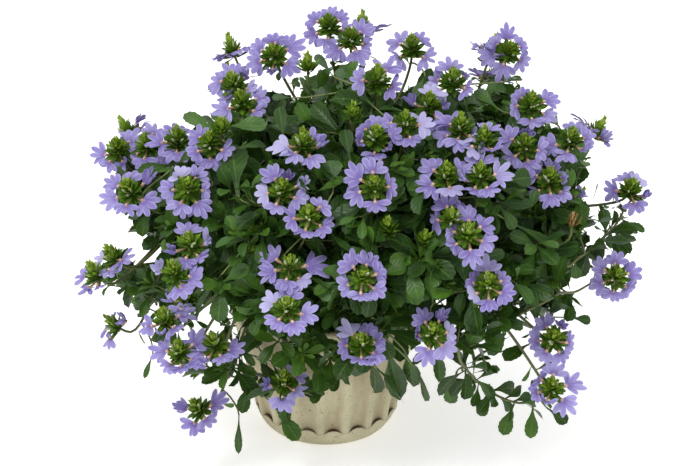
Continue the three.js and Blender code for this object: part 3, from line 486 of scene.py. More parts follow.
# Blade forms: [rows along, columns across, half width at each row, teeth at each row]
WIDTH_STOPS = [0, 0.1, 0.2, 0.3, 0.4, 0.5, 0.6, 0.7, 0.8, 0.87, 0.93, 1]
WIDTH_SHARES = [0.15, 0.13, 0.16, 0.26, 0.48, 0.74, 0.92, 1, 0.95, 0.83, 0.62, 0.06]
TOOTHED_ROWS = [0, 0.12, 0.24, 0.35, 0.45, 0.52, 0.59, 0.66, 0.73, 0.79, 0.85, 0.91, 0.955, 1]
TOOTH_STEPS = [0, 0, 0, 0, -0.4, 1, -1, 1, -1, 1, -1, 1, -0.6, 0]
TOOTH_OUT = 0.042
TOOTH_FORWARD = 0.014
NO_TEETH = [0]
TOOTHED_WIDTHS = np.interp(TOOTHED_ROWS, WIDTH_STOPS, WIDTH_SHARES)
LEAF = [TOOTHED_ROWS, [-1, -0.52, 0, 0.52, 1], TOOTHED_WIDTHS, TOOTH_STEPS]
BACK_LEAF = [TOOTHED_ROWS, [-1, 0, 1], TOOTHED_WIDTHS, TOOTH_STEPS]
BRACT = [[0, 0.25, 0.5, 0.78, 0.93, 1], [-1, 0, 1], [0.5, 0.85, 1, 0.76, 0.4, 0.04], NO_TEETH]
LOBE = [[0, 0.14, 0.3, 0.46, 0.62, 0.78, 0.9, 0.965, 1], [-1, -0.5, 0, 0.5, 1],
        [0.30, 0.50, 0.72, 0.92, 1, 0.92, 0.66, 0.34, 0.03], NO_TEETH]
RIPPLES = 9
RIPPLE_SHIFT = 2.2
LEAF_WAVE = 0.05
LOBE_WAVE = 0.035


def blades(form, roots, directions, faces, lengths, widths, curl, fold, twist, wave=LEAF_WAVE):
    """Grids of blades: each is bent along its length, folded along its middle and twisted."""
    rows, columns, share, teeth = (np.array(part, float) for part in form)
    teeth = np.broadcast_to(teeth, len(rows))[:, None] * np.abs(columns) ** 4
    half = share[:, None] * (1 + TOOTH_OUT * teeth) * columns
    t = rows[:, None] + TOOTH_FORWARD * np.maximum(teeth, 0)
    spread = lambda values: np.broadcast_to(values, len(roots))[:, None, None]
    at = lambda vectors: vectors[:, None, None, :]
    lengths, widths, curl, fold, twist = map(spread, (lengths, widths, curl, fold, twist))
    directions = unit(directions)
    faces = across_to(faces, directions)
    sides = np.cross(directions, faces)
    bend = np.where(np.abs(curl) < 1e-3, 1e-3, curl)
    start = rng.uniform(0, TURN, (len(roots), 1, 1))
    ripple = np.sin(t * RIPPLES + start + RIPPLE_SHIFT * np.sign(columns)) * np.abs(columns)
    flat = half * widths / 2 * np.cos(fold)
    raised = np.abs(half) * widths / 2 * np.sin(fold) + ripple * wave * widths * share[:, None]
    spin = twist * t
    lateral = flat * np.cos(spin) - raised * np.sin(spin)
    height = flat * np.sin(spin) + raised * np.cos(spin)
    forward = np.sin(bend * t) / bend * lengths + height * np.sin(bend * t)
    rise = height * np.cos(bend * t) - (1 - np.cos(bend * t)) / bend * lengths
    points = (at(roots) + at(directions) * forward[..., None] + at(faces) * rise[..., None]
              + at(sides) * lateral[..., None])
    return points, dict(along=np.broadcast_to(rows[:, None], half.shape),
                        across=np.broadcast_to(columns, half.shape))


# Heads, shoots and main stems, placed as the solids are
def facing(turn, rise):
    turn, rise = turn * DEG, rise * DEG
    return np.array([math.sin(turn) * math.cos(rise), -math.cos(turn) * math.cos(rise), math.sin(rise)])


class Head:
    """A flower head or leafy tip: its place, its axis and the clock places of its fans."""

    def __init__(self, place, axis, fans=(), extra_fans=(), low=False, spent=False):
        self.place, self.axis, self.low, self.spent = place, axis, low, spent
        self.fans, self.extra_fans = list(fans), list(extra_fans)
        self.top = across_to(UP, axis)
        self.right = np.cross(self.top, axis)

    def at(self, angle, radius, rise):
        return (self.place + self.right * math.sin(angle) * radius + self.top * math.cos(angle) * radius
                + self.axis * rise)


def all_heads():
    heads = []
    for across, down, turn, *rest in FRONT_HEADS:
        low = down > LOW_HEAD_DOWN
        if turn == TWIN:
            before = heads[-1]
            ray = sight(across, down)
            distance = ((before.place - EYE) @ before.axis) / (ray @ before.axis)
            heads.append(Head(EYE + ray * distance, before.axis, rest[0], low=low))
        else:
            rise, reach, fans = rest
            heads.append(Head(on_mound(across, down, reach), facing(turn, rise), fans, low=low))
    for height, first, last, count in BACK_ROWS:
        for i in range(count):
            turn = first + (last - first) * i / (count - 1)
            place = MOUND_MIDDLE + facing(turn, height + BACK_STAGGER * (i % 2)) * MOUND_REACH
            fans = [hour + i * BACK_FAN_SHIFT for hour in BACK_FANS]
            extra = [hour + i * BACK_FAN_SHIFT for hour in BACK_EXTRA_FANS]
            axis = facing(turn, BACK_RISE + height * BACK_RISE_SHARE)
            heads.append(Head(place, axis, fans, extra, height < 0))
    return heads


def main_path(number):
    if number == OUTER_STEMS:
        return np.array([[0, 0, STEM_FOOT / MM], *MIDDLE_RUN]) * MM
    angle = (360 * (number + 0.5) / OUTER_STEMS - 90) * DEG
    foot = [[OUTER_FOOT_RADIUS * math.cos(angle), OUTER_FOOT_RADIUS * math.sin(angle), z]
            for z in (STEM_FOOT, OUTER_EXIT)]
    ahead = math.cos(angle) * OUTER_WIDENING + OUTER_LEAN
    run = [[r * ahead, r * math.sin(angle), z] for r, z in OUTER_RUN]
    return np.array(foot + (np.array(run) * MM).tolist())


def nearest_on(path, place):
    """Nearest of five points a step on the part of a main stem that bears shoots."""
    steps = range(FIRST_BEARING_STEP, len(path) - 1)
    points = [path[i] + (path[i + 1] - path[i]) * s / 4 for i in steps for s in range(5)]
    return min(points, key=lambda point: np.linalg.norm(point - place))


def shoot_path(start, head, bow, steps):
    neck = head.place - head.axis * NECK_BELOW
    span = np.linalg.norm(neck - start)
    out = unit((neck - start) * [1, 1, 0])
    return bezier(start, start + out * span * SHOOT_OUT + UP * span * (SHOOT_RISE + bow),
                  neck - head.axis * min(span * NECK_SHARE, NECK_BEND), neck, steps)


# Which solid each head belongs to
def cad_points(name):
    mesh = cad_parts[name].data
    points = np.empty(len(mesh.vertices) * 3)
    mesh.vertices.foreach_get("co", points)
    return points.reshape(-1, 3)


STEM_NAMES = [f"leafy_stem_{number + 1}" for number in range(OUTER_STEMS + 1)]
BLOOM_NAMES = sorted(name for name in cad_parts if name.startswith("bloom_"))
stem_points = [cad_points(name) for name in STEM_NAMES]
bloom_points = [cad_points(name) for name in BLOOM_NAMES]
main_paths = [main_path(number) for number in range(OUTER_STEMS + 1)]
heads = all_heads()
tips = [Head(on_mound(across, down, reach), facing(turn, rise))
        for across, down, turn, rise, reach in LEAFY_TIPS]
tips[-1].spent = True


def distance_to(points, target):
    return np.sqrt(np.min(np.sum((points - target) ** 2, axis=1)))


def off_segment(points, a, b):
    share = np.clip((points - a) @ (b - a) / ((b - a) @ (b - a)), 0, 1)
    return np.linalg.norm(points - a - share[:, None] * (b - a), axis=1)


def bloom_of(head):
    """Index of the bloom solid that holds this head's fans."""
    rise = (FAN_REACH - HUB_RADIUS) * FAN_CUP
    corners = [head.at(hour * HOUR, FAN_REACH, rise) for hour in head.fans]
    gaps = [min(distance_to(points, corner_darkening) for corner_darkening in corners) for points in bloom_points]
    return int(np.argmin(gaps))


def route_of(head):
    """The main stem and the path of the side shoot that carries this head."""
    neck = head.place - head.axis * NECK_BELOW
    starts = [nearest_on(path, neck) for path in main_paths]
    order = sorted(range(len(starts)), key=lambda number: np.linalg.norm(starts[number] - neck))
    best = None
    for number in order[:ROUTES_TRIED]:
        points = stem_points[number]
        for bow in BOWS:
            a, b, c = shoot_path(starts[number], head, bow, 3)
            near = np.minimum(off_segment(points, a, b), off_segment(points, b, c)) < TOUCHING
            to_ends = np.minimum(np.linalg.norm(points - a, axis=1), np.linalg.norm(points - c, axis=1))
            score = np.sum(near & (to_ends > 2 * TOUCHING))
            if best is None or score > best[0]:
                best = (score, number, shoot_path(starts[number], head, bow, 16))
    return best[1], best[2]


bearers = heads + tips
for bearer in bearers:
    bearer.stem, bearer.path = route_of(bearer)
for head in heads:
    head.bloom = bloom_of(head)

stem_skins = [Skin() for _ in STEM_NAMES]
bloom_skins = [Skin() for _ in BLOOM_NAMES]
LEAF_SLOT, BRACT_SLOT, STEM_SLOT, CORE_SLOT, BUD_SLOT, SPENT_SLOT = range(6)
LOBE_SLOT, TUBE_SLOT, CUP_SLOT = range(3)

# Leaves wanted, each with the stem that carries it
NUMBERS = ("length", "width", "tint", "curl", "fold", "twist")
LEAF_FIELDS = [("stem", int), *((name, float, 3) for name in ("root", "direction", "face")),
               *((name, float) for name in NUMBERS), ("twig", int), ("free", bool)]
BLADE_FIELDS = ("root", "direction", "face", "length", "width", "curl", "fold", "twist")
LEAF_SAMPLES = [0.35, 0.7, 0.97]
HEAD_DISC = 16
HEAD_ROOM = 25 * MM
HEAD_ROOM_BELOW = 3 * MM
HEAD_ROOM_ABOVE = 42 * MM
POT_ROOM = 3 * MM
LOWEST_LEAF = 4 * MM


def leaf(stem, root, direction, face, length, width, tint, curl, fold, twist=0.0, twig=-1, free=False):
    return stem, root, direction, face, length, width, tint, curl, fold, twist, twig, free


def pot_radius(z):
    share = np.clip((z - FOOT_HEIGHT) / (POT_HEIGHT - FOOT_HEIGHT), 0, None)
    return FOOT_RADIUS + (RIM_RADIUS - FOOT_RADIUS) * share ** FLARE_POWER


def clear_leaves(table):
    """Marks leaves within the outline, or free of it, that clear the openings, heads, bowl and floor."""
    ahead = unit(table["direction"])[:, None] * table["length"][:, None, None]
    points = table["root"][:, None] + ahead * np.array(LEAF_SAMPLES)[None, :, None]
    across, down, depth = in_view(points)
    in_outline = inside_outline(across, down) | table["free"][:, None]
    keep = np.all(in_outline & ~in_openings(across, down), axis=1)
    for number, head in enumerate(heads):
        offset = points - head.place
        height = offset @ head.axis
        radius = np.linalg.norm(offset - height[..., None] * head.axis, axis=-1)
        crowded = (radius < HEAD_ROOM) & (height > -HEAD_ROOM_BELOW) & (height < HEAD_ROOM_ABOVE)
        keep &= ~np.any(crowded, axis=1)
        if number < len(FRONT_HEADS):
            x, y, far = in_view(head.place)
            keep &= ~np.any((np.hypot(across - x, down - y) < HEAD_DISC) & (depth < far), axis=1)
    z = points[..., 2]
    around = np.hypot(points[..., 0], points[..., 1])
    inside_bowl = (around < RIM_RADIUS - WALL - POT_ROOM) & (z > SOIL_TOP + SOIL_DOME)
    outside_bowl = (around > pot_radius(z) + POT_ROOM) | (z > POT_HEIGHT + POT_ROOM)
    return keep & np.all((inside_bowl | outside_bowl) & (z > LOWEST_LEAF), axis=1)


def outward(point):
    return unit((point - MOUND_MIDDLE) / MOUND_REACH ** 2)


def steps_along(path):
    return np.concatenate([[0], np.cumsum(np.linalg.norm(np.diff(path, axis=0), axis=1))])


leaves = []
LEAF_SIDE = np.array([0.3, 0.5, 0.81])
LOOK_AHEAD = 2 * MM
TURN_JITTER = 0.25
PITCH_JITTER = 0.12
LEAF_LIFT = 0.12
LIFT_JITTER = [1, 0.6]
SIZE_POWER = 1.3
SIZE_JITTER = [0.8, 1.12]
FACE_AHEAD = 0.6
FACE_UP = 0.55
FACE_JITTER = 0.16
TINT_JITTER = 0.07
LEAF_CURL = [0.1, 1.1]
LEAF_FOLD = [0.1, 0.55]
LEAF_TWIST = 0.35


def leafy_run(stem, path, count, lengths, pitch, tints, start, widths=(0.38, 0.5), twig=-1, free_from=2.0):
    """Leaves in a spiral on a shoot from the share start of its length, smaller towards its tip."""
    steps = steps_along(path)
    turn = rng.uniform(0, TURN)
    for i in range(count):
        step = (i + 0.5) / count
        share = start + (1 - start) * (i + rng.uniform(0, 0.6)) / count
        at = steps[-1] * share
        root, after = (np.array([np.interp(place, steps, path[:, axis]) for axis in range(3)])
                       for place in (at, at + LOOK_AHEAD))
        ahead = unit(after - root) if np.linalg.norm(after - root) > 1e-6 else unit(path[-1] - path[-2])
        side = across_to(LEAF_SIDE, ahead)
        out = turned(side, np.cross(ahead, side), turn + i * GOLDEN + rng.normal(0, TURN_JITTER))
        steep = between(pitch, step) * DEG + rng.normal(0, PITCH_JITTER)
        direction = turned(ahead, out, steep) + UP * LEAF_LIFT * rng.normal(*LIFT_JITTER)
        size = (lengths[1] + (lengths[0] - lengths[1]) * step ** SIZE_POWER) * rng.uniform(*SIZE_JITTER)
        face = ahead * FACE_AHEAD + UP * FACE_UP + rng.normal(0, FACE_JITTER, 3)
        tint = between(tints, step) + rng.normal(0, TINT_JITTER)
        leaves.append(leaf(stem, root, direction, face, size, size * rng.uniform(*widths), tint,
                           rng.uniform(*LEAF_CURL), rng.uniform(*LEAF_FOLD), rng.normal(0, LEAF_TWIST),
                           twig, share > free_from))


# Main stems and the side shoots to the heads
for skin, path in zip(stem_skins, main_paths):
    skin.tube(smooth_path(path, 7), MAIN_RADIUS, MAIN_SWELL, 10, STEM_SLOT, tint=0.2)
for bearer in bearers:
    end = bearer.place + bearer.axis * SHOOT_INTO_HEAD
    run = np.vstack([bearer.path, bearer.path[-1] * 0.5 + end * 0.5, end])
    tint = rng.uniform(0.3, 0.6)
    stem_skins[bearer.stem].tube(run, SHOOT_RADIUS, SHOOT_SWELL, 8, STEM_SLOT, tint=tint)
    length = steps_along(bearer.path)[-1]
    leafy_run(bearer.stem, bearer.path, LEAVES_PER_SHOOT, WHORL_LENGTH, pitch=(70, 62), tints=(0.2, 0.5),
              start=max(0.25, 1 - SHOOT_LEAFY / length), widths=(0.34, 0.44),
              free_from=1 - SHOOT_FREE / length)
carriers = [(bearer.stem, bearer.path[3:-2]) for bearer in bearers] + list(enumerate(main_paths))


def joint_for(place, toward, closest=CLOSEST_JOINT):
    """The carrier that a twig can grow from at least cost, as its stem and the nearest point on it."""
    best = None
    for number, path in carriers:
        path = path[2:] if len(path) < 6 else path
        gap = place - path
        reach = np.linalg.norm(gap, axis=1)
        cost = reach * (BEND_COST - (gap / reach[:, None]) @ toward)
        i = int(np.argmin(cost))
        if reach[i] > closest and (best is None or cost[i] < best[0]):
            best = (cost[i], number, path[i])
    return best[1], best[2]


# Branches, with leaves all along them
for places in BRANCHES:
    run = [on_mound(*place, BRANCH_REACH) for place in places]
    stem, start = joint_for(run[0], unit(run[1] - run[0]))
    path = smooth_path(np.array([start] + run), 5)
    stem_skins[stem].tube(path, BRANCH_RADIUS, THIN_SWELL, 7, STEM_SLOT, tint=0.35)
    leafy_run(stem, path, LEAVES_PER_PLACE * len(places), BRANCH_LEAF_LENGTH, pitch=(75, 50),
              tints=(0.1, 0.35), start=0.3, widths=(0.42, 0.55), free_from=0)
    carriers.append((stem, path[5:]))

# Twigs among the heads on the front, on the far side and within
twigs = []


def grow_twig(place, axis, count, tints, longest):
    """Bends a twig out to place and puts leaves on it, if it is short enough and keeps to the outline."""
    stem, start = joint_for(place, axis)
    span = np.linalg.norm(place - start)
    path = bezier(start, start + (outward(start) * TWIG_OUT + UP * TWIG_RISE) * span * TWIG_BEND,
                  place - axis * span * TWIG_BEND, place, TWIG_RINGS)
    across, down, _ = in_view(path[2:])
    if span > longest or not np.all(inside_outline(across, down)) or np.any(in_openings(across, down)):
        return
    leafy_run(stem, path, count, LEAF_LENGTH, pitch=(72, 30), tints=tints,
              start=max(0.05, 1 - TWIG_LENGTH / span), twig=len(twigs))
    if rng.uniform() < YOUNG_SHARE:
        young_tip(stem, path, len(twigs))
    twigs.append((stem, path, rng.uniform(0.3, 0.7)))


def young_tip(stem, path, twig):
    """Rosette of small bright leaves at the end of a twig."""
    ahead = unit(path[-1] - path[-2])
    side = across_to(LEAF_SIDE, ahead)
    count = rng.integers(*YOUNG_LEAVES)
    for i in range(count):
        step = (i + 0.5) / count
        out = turned(side, np.cross(ahead, side), i * GOLDEN)
        root = path[-1] - ahead * (1 - step) * YOUNG_DEPTH
        direction = turned(ahead, out, between(YOUNG_PITCH, step) * DEG)
        length = between(YOUNG_LENGTH, step) * MM * rng.uniform(0.85, 1.15)
        leaves.append(leaf(stem, root, direction, ahead - out * 0.3, length, length * YOUNG_WIDTH,
                           between(YOUNG_TINT, step), curl=rng.uniform(-0.6, 0.3), fold=0.5, twig=twig))


def twig_place(kind):
    """A place drawn round the mound, or in the front view where the kind has no turns. None is a miss."""
    if "turns" in kind:
        turn, height = rng.uniform(*kind["turns"]), math.asin(rng.uniform(*kind["rises"])) / DEG
        return MOUND_MIDDLE + facing(turn, height) * MOUND_REACH * rng.uniform(*kind["reaches"])
    across, down = rng.uniform(*TWIGS_ACROSS), rng.uniform(*TWIGS_DOWN)
    if not inside_outline(across, down) or in_openings(across, down):
        return None
    place = on_mound(across, down, rng.uniform(*kind["reaches"]))
    return None if place[2] < LOWEST_TWIG else place


for kind in TWIG_KINDS:
    places = []
    for _ in range(TRIES):
        place = twig_place(kind) if len(places) < kind["count"] else None
        if place is None or any(np.linalg.norm(other - place) <= kind["gap"] for other in places):
            continue
        places.append(place)
        axis = outward(place) * kind["out"] + np.array(kind["lean"]) + rng.normal(0, kind["jitter"], 3)
        grow_twig(place, unit(axis), kind["leaves"], kind["tints"], kind["longest"])

# Dark masses that paint the shade within the foliage behind, and the leaves that lie over them
masses = []
for height, count, reach in MASS_LEVELS:
    for i in range(count):
        turn = FAR_TURNS[0] + (FAR_TURNS[1] - FAR_TURNS[0]) * (i + 0.5) / count
        middle = MOUND_MIDDLE + facing(turn, height) * MOUND_REACH * reach
        gaps = [np.linalg.norm(nearest_on(path, middle) - middle) for path in main_paths]
        masses.append((int(np.argmin(gaps)), middle, i + height))
for stem, middle, _ in masses:
    for i in range(MASS_LEAVES):
        rise = 1 - 2 * (i + 0.5) / MASS_LEAVES
        around = np.array([math.cos(i * GOLDEN), math.sin(i * GOLDEN), 0]) * math.sqrt(1 - rise * rise)
        normal = around + UP * rise
        if normal @ outward(middle) < HIDDEN_BELOW:
            continue
        down = across_to(np.array([0.1, 0.2, -1.0]), normal)
        droop = unit(down + normal * rng.uniform(0.1, 0.8) + rng.normal(0, 0.3, 3))
        length = rng.uniform(*LEAF_LENGTH) * MASS_LEAF_SHARE
        root = middle + normal * MASS_RADIUS * 0.8 - droop * length * 0.35
        leaves.append(leaf(stem, root, droop, normal + UP * 0.3, length, length * rng.uniform(0.4, 0.52),
                           tint=rng.uniform(0.08, 0.4), curl=rng.uniform(0.2, 0.9),
                           fold=rng.uniform(0.1, 0.5), twist=rng.normal(0, 0.3)))

# Leaves that are clear of everything, on twigs that keep enough of them
table = np.array(leaves, LEAF_FIELDS)
table = table[clear_leaves(table)]
counts = np.bincount(table["twig"][table["twig"] >= 0], minlength=len(twigs))
for (stem, path, tint), count in zip(twigs, counts):
    if count >= FEWEST_LEAVES:
        stem_skins[stem].tube(path, TWIG_RADIUS, THIN_SWELL, 5, STEM_SLOT, tint=tint)
table = table[~np.isin(table["twig"], np.flatnonzero(counts < FEWEST_LEAVES))]

# Large leaves on their stalks
large = []
for number, (root_across, root_down, tip_across, tip_down, width, reach) in enumerate(LARGE_LEAVES):
    tips_tried = [on_mound(tip_across, tip_down, reach * depth) for depth in LARGE_DEPTHS]
    touches = [min(distance_to(points, tip) for points in stem_points) < AT_STEM for tip in tips_tried]
    depth = LARGE_DEPTHS[touches.index(True)] if any(touches) else LARGE_DEPTH_ELSE
    root = on_mound(root_across, root_down, reach * depth * ROOT_REACH)
    tip = on_mound(tip_across, tip_down, reach * depth)
    grow = unit(tip - root)
    stem, start = joint_for(root, grow, AT_STEM)
    span = np.linalg.norm(root - start)
    stalk = bezier(start, start + UP * span * 0.25, root - grow * span * 0.3, root + grow * MM, 7)
    stem_skins[stem].tube(stalk, TWIG_RADIUS, STALK_SWELL, 6, STEM_SLOT, tint=0.5)
    tint = BRIGHT_TINT if number < BRIGHT_LEAVES else rng.uniform(0.12, 0.42)
    large.append(leaf(stem, root, tip - root, LARGE_FACE + rng.normal(0, 0.12, 3),
                      np.linalg.norm(tip - root) * CURL_LENGTH, width * MM, tint,
                      curl=rng.uniform(0.1, 0.45), fold=rng.uniform(0.12, 0.35), twist=rng.normal(0, 0.15)))
table = np.concatenate([table, np.array(large, LEAF_FIELDS)])

for number, skin in enumerate(stem_skins):
    for form, behind in ((LEAF, False), (BACK_LEAF, True)):
        own = table[(table["stem"] == number) & ((table["root"][:, 1] > BACK_FROM) == behind)]
        if len(own):
            points, places = blades(form, *(own[name] for name in BLADE_FIELDS))
            # pale picks the leaves that get the painted sheen
            skin.grids(points, LEAF_SLOT, **places, tint=own["tint"][:, None, None],
                       pale=rng.uniform(0, 1, (len(own), 1, 1)))


# Dark inner masses: near-black lumps painted as the shade inside the bush
def core_grid(middle, reach, seed):
    lift = np.linspace(-90, 90, CORE_ROWS)[:, None] * DEG
    turn = np.arange(CORE_COLUMNS) * TURN / CORE_COLUMNS
    level = np.cos(lift)
    lumps = 1 + 0.10 * np.sin(5 * turn + seed) * np.cos(4 * lift + seed)
    lumps = lumps + 0.07 * np.sin(11 * turn + 7 * lift)
    lumps = lumps + rng.uniform(-0.07, 0.07, lumps.shape) * level
    ring = np.stack([np.cos(turn) * level, np.sin(turn) * level, np.sin(lift) + 0 * turn], axis=-1)
    return (middle + ring * lumps[..., None] * reach)[None]


for stem, middle, seed in masses:
    stem_skins[stem].grids(core_grid(middle, np.full(3, MASS_RADIUS), seed), CORE_SLOT, closed=True)
for number, path in enumerate(main_paths):
    middle, reach = path[-2] + (path[-1] - path[-2]) * SIDE_CORE_SHARE + [0, 0, SIDE_CORE_LIFT], CORE_REACH
    if number == OUTER_STEMS:
        middle, reach = TOP_CORE_MIDDLE, TOP_CORE_REACH
    stem_skins[number].grids(core_grid(middle, reach, number), CORE_SLOT, closed=True)

# Green heads: bracts in a spiral, with a few pointed buds. A kind is [bracts, pitch in degrees, length and
# width in mm, tint, climb in mm], and a pair goes from the first bract to the last.
BRACT_KINDS = {
    "spent": [28, (55, 10), (10, 6.5), (2.8, 1.9), (0.1, 0.6), (-2, 9)],
    "low": [46, (66, 4), (11, 8.5), (4.0, 2.7), (0.35, 1.15), (-0.5, 10)],
    "high": [64, (80, 4), (11, 8), (4.0, 2.6), (0.15, 1.15), (-0.5, 12.5)],
    "ruff": [16, (98, 76), (14, 11), (6.2, 5), (0.0, 0.3), (-3.5, -1)],
}
DOME_LEAN = 0.42
SPIRAL_RADIUS = 1.6 * MM


def head_bracts(bearer, kind):
    count, *pairs = BRACT_KINDS[kind]
    axis = bearer.axis if kind == "ruff" else unit(bearer.axis + UP * DOME_LEAN)
    right = across_to(bearer.right, axis)
    step = (np.arange(count) + 0.5) / count
    angle = np.arange(count) * GOLDEN + rng.uniform(0, TURN)
    out = np.outer(np.sin(angle), right) + np.outer(np.cos(angle), np.cross(axis, right))
    pitch, length, width, tint, climb = (between(pair, step) for pair in pairs)
    size = rng.uniform(0.9, 1.08)
    lean = (pitch + rng.normal(0, 6, count)) * DEG
    root = bearer.place + axis * (climb * MM)[:, None] + out * (1 - step[:, None]) * SPIRAL_RADIUS
    direction = out * np.sin(lean)[:, None] + axis * np.cos(lean)[:, None]
    points, places = blades(
        BRACT, root, direction, axis - out * 0.6, length * rng.uniform(0.85, 1.1, count) * MM * size,
        width * MM, rng.uniform(-1.1, -0.3, count), rng.uniform(0.3, 0.7, count), rng.normal(0, 0.2, count))
    stem_skins[bearer.stem].grids(points, SPENT_SLOT if bearer.spent else BRACT_SLOT, **places,
                                  tint=tint[:, None, None] + rng.normal(0, 0.08, (count, 1, 1)))


def head_buds(bearer):
    rows = len(BUD_SWELL)
    for _ in range(rng.integers(*BUDS)):
        out = turned(bearer.top, bearer.right, rng.uniform(0, TURN))
        root = bearer.place + out * rng.uniform(*BUD_PLACE) * MM + bearer.axis * BUD_RISE
        direction = unit(bearer.axis + out * rng.uniform(*BUD_LEAN))
        path = root + direction * np.linspace(0, rng.uniform(*BUD_LENGTH), rows)[:, None] * MM
        stem_skins[bearer.stem].tube(path, BUD_RADIUS, BUD_SWELL, 6, BUD_SLOT,
                                     along=np.linspace(0, 1, rows)[:, None], tint=rng.uniform(0, 1))


for bearer in bearers:
    head_bracts(bearer, "spent" if bearer.spent else "low" if bearer.low else "high")
    if bearer.fans:
        head_bracts(bearer, "ruff")
        head_buds(bearer)


# Fans of five lobes, each on a short tube, with a tan cup at its throat
def ball_grid(middle, radius, axis):
    lift = np.linspace(-90, 90, 7)[:, None] * DEG
    turn = np.arange(8) * TURN / 8
    side = across_to(np.array([0.2, 0.3, 0.93]), axis)
    other = np.cross(axis, side)
    level = np.cos(lift)
    rings = (level * np.cos(turn))[..., None] * side + (level * np.sin(turn))[..., None] * other
    return (middle + radius * (rings + (np.sin(lift) + 0 * turn)[..., None] * axis))[None]


def fan(head, hour, gaps, skin, pale):
    direction = hour * HOUR + rng.normal(0, FAN_TURN_JITTER)
    lift = rng.uniform(*FAN_LIFT) * MM
    tilt = rng.normal(*FAN_TILT) * DEG
    size = rng.uniform(*FAN_SIZES)
    curled = rng.uniform() < CURLED_SHARE
    throat = head.at(direction, THROAT_RADIUS, THROAT_RISE + lift)
    out = unit(head.at(direction, 1, 0) - head.place)
    normal = unit(head.axis * math.cos(tilt) - out * math.sin(tilt))
    reaches = []
    for spread, share in zip(LOBE_SPREAD, LOBE_REACH):
        half = gaps[0] if spread < 0 else gaps[1]
        radius = THROAT_RADIUS + (FAN_REACH * share * rng.uniform(*LOBE_LENGTHS) - THROAT_RADIUS) * size
        tip = head.at(direction + spread * half, radius, (radius - HUB_RADIUS) * FAN_CUP + lift)
        reaches.append(tip + (normal - head.axis) * (radius - THROAT_RADIUS) - throat)
    count = len(reaches)
    room = min(1, 0.5 + sum(gaps) / WIDE_GAPS)
    widths = LOBE_WIDTH * size ** 0.5 * rng.uniform(*LOBE_WIDTHS, count) * room
    curl, folds = CURLED_LOBE if curled else OPEN_LOBE
    points, places = blades(
        LOBE, throat + np.outer(rng.uniform(0, 0.35, count), normal) * MM, np.array(reaches),
        np.tile(normal, (count, 1)), np.linalg.norm(reaches, axis=1) * CURL_LENGTH, widths,
        rng.normal(*curl, count), rng.uniform(*folds, count), rng.normal(0, LOBE_TWIST, count), LOBE_WAVE)
    tone = rng.uniform(*FAN_TONES) + rng.uniform(0, 0.2, (count, 1, 1))
    skin.grids(points, LOBE_SLOT, **places, tint=tone, pale=pale)
    base = head.at(direction, TUBE_ROOT[0], TUBE_ROOT[1] + lift)
    rows = len(TUBE_SWELL)
    path = bezier(base, base + (throat - base) * 0.4 - head.axis * 0.8 * MM,
                  throat - out * 3 * MM - normal * MM, throat + out * 0.8 * MM - normal * 0.2 * MM, rows)
    skin.tube(path, TUBE_RADIUS, TUBE_SWELL, 7, TUBE_SLOT, along=np.linspace(0, 1, rows)[:, None],
              tint=rng.uniform(0, 1))
    cup = ball_grid(throat + normal * 1.0 * MM - out * 0.6 * MM, rng.uniform(*CUP_RADIUS) * MM, normal)
    skin.grids(cup, CUP_SLOT, closed=True, tint=rng.uniform(0, 1))


def paleness(head, hour):
    """How pale the fan is, by its distance from the pale places in the view."""
    if head.place[1] >= MOUND_MIDDLE[1] + PALE_BEFORE:
        return 0.0
    x, y, _ = in_view(head.at(hour * HOUR, FAN_CENTRE, 0))
    nearest = min(math.hypot(x - pale_x, y - pale_y) for pale_x, pale_y in PALE_PLACES)
    return min(PALEST, max(0, 1 - nearest / PALE_DISTANCE) * PALE_GAIN)


for head in heads:
    hours = sorted(hour % 12 for hour in head.fans + head.extra_fans)
    for i, hour in enumerate(hours):
        after = (hours[(i + 1) % len(hours)] - hour) % 12 or 12
        before = (hour - hours[i - 1]) % 12 or 12
        gaps = [min(gap * HOUR * FAN_GAP_SHARE, FAN_HALF_ANGLE) for gap in (before, after)]
        fan(head, hour, gaps, bloom_skins[head.bloom], paleness(head, hour))

# Bowl: rows just below the ledge as [mm down, mm inward, darkening], then heights above it in mm
LEDGE_ROWS = [[0.8, 0.1, 0], [0.25, 0.25, 0.15]]
LOW_ROWS = [0.15, 0.5, 0.9, 1.4, 2.0, 2.8, 3.8, 5.0, 6.5, 8.5]
FIRST_EVEN_ROW = 11
EVEN_ROWS = 18
FOOT_ROWS, BAND_ROWS, LIP_ROWS, INNER_ROWS = 9, 9, 12, 9
# Darker brown at the ledge corner of each flute, fading up the flute
LEDGE_DARKENING = 0.9
DARKENING_FADES = [[0.85, 0.8], [0.42, 6]]
EDGE_HEIGHT = 0.9
FLUTE_FADE = 5
BAND_SWELL = 0.6 * MM


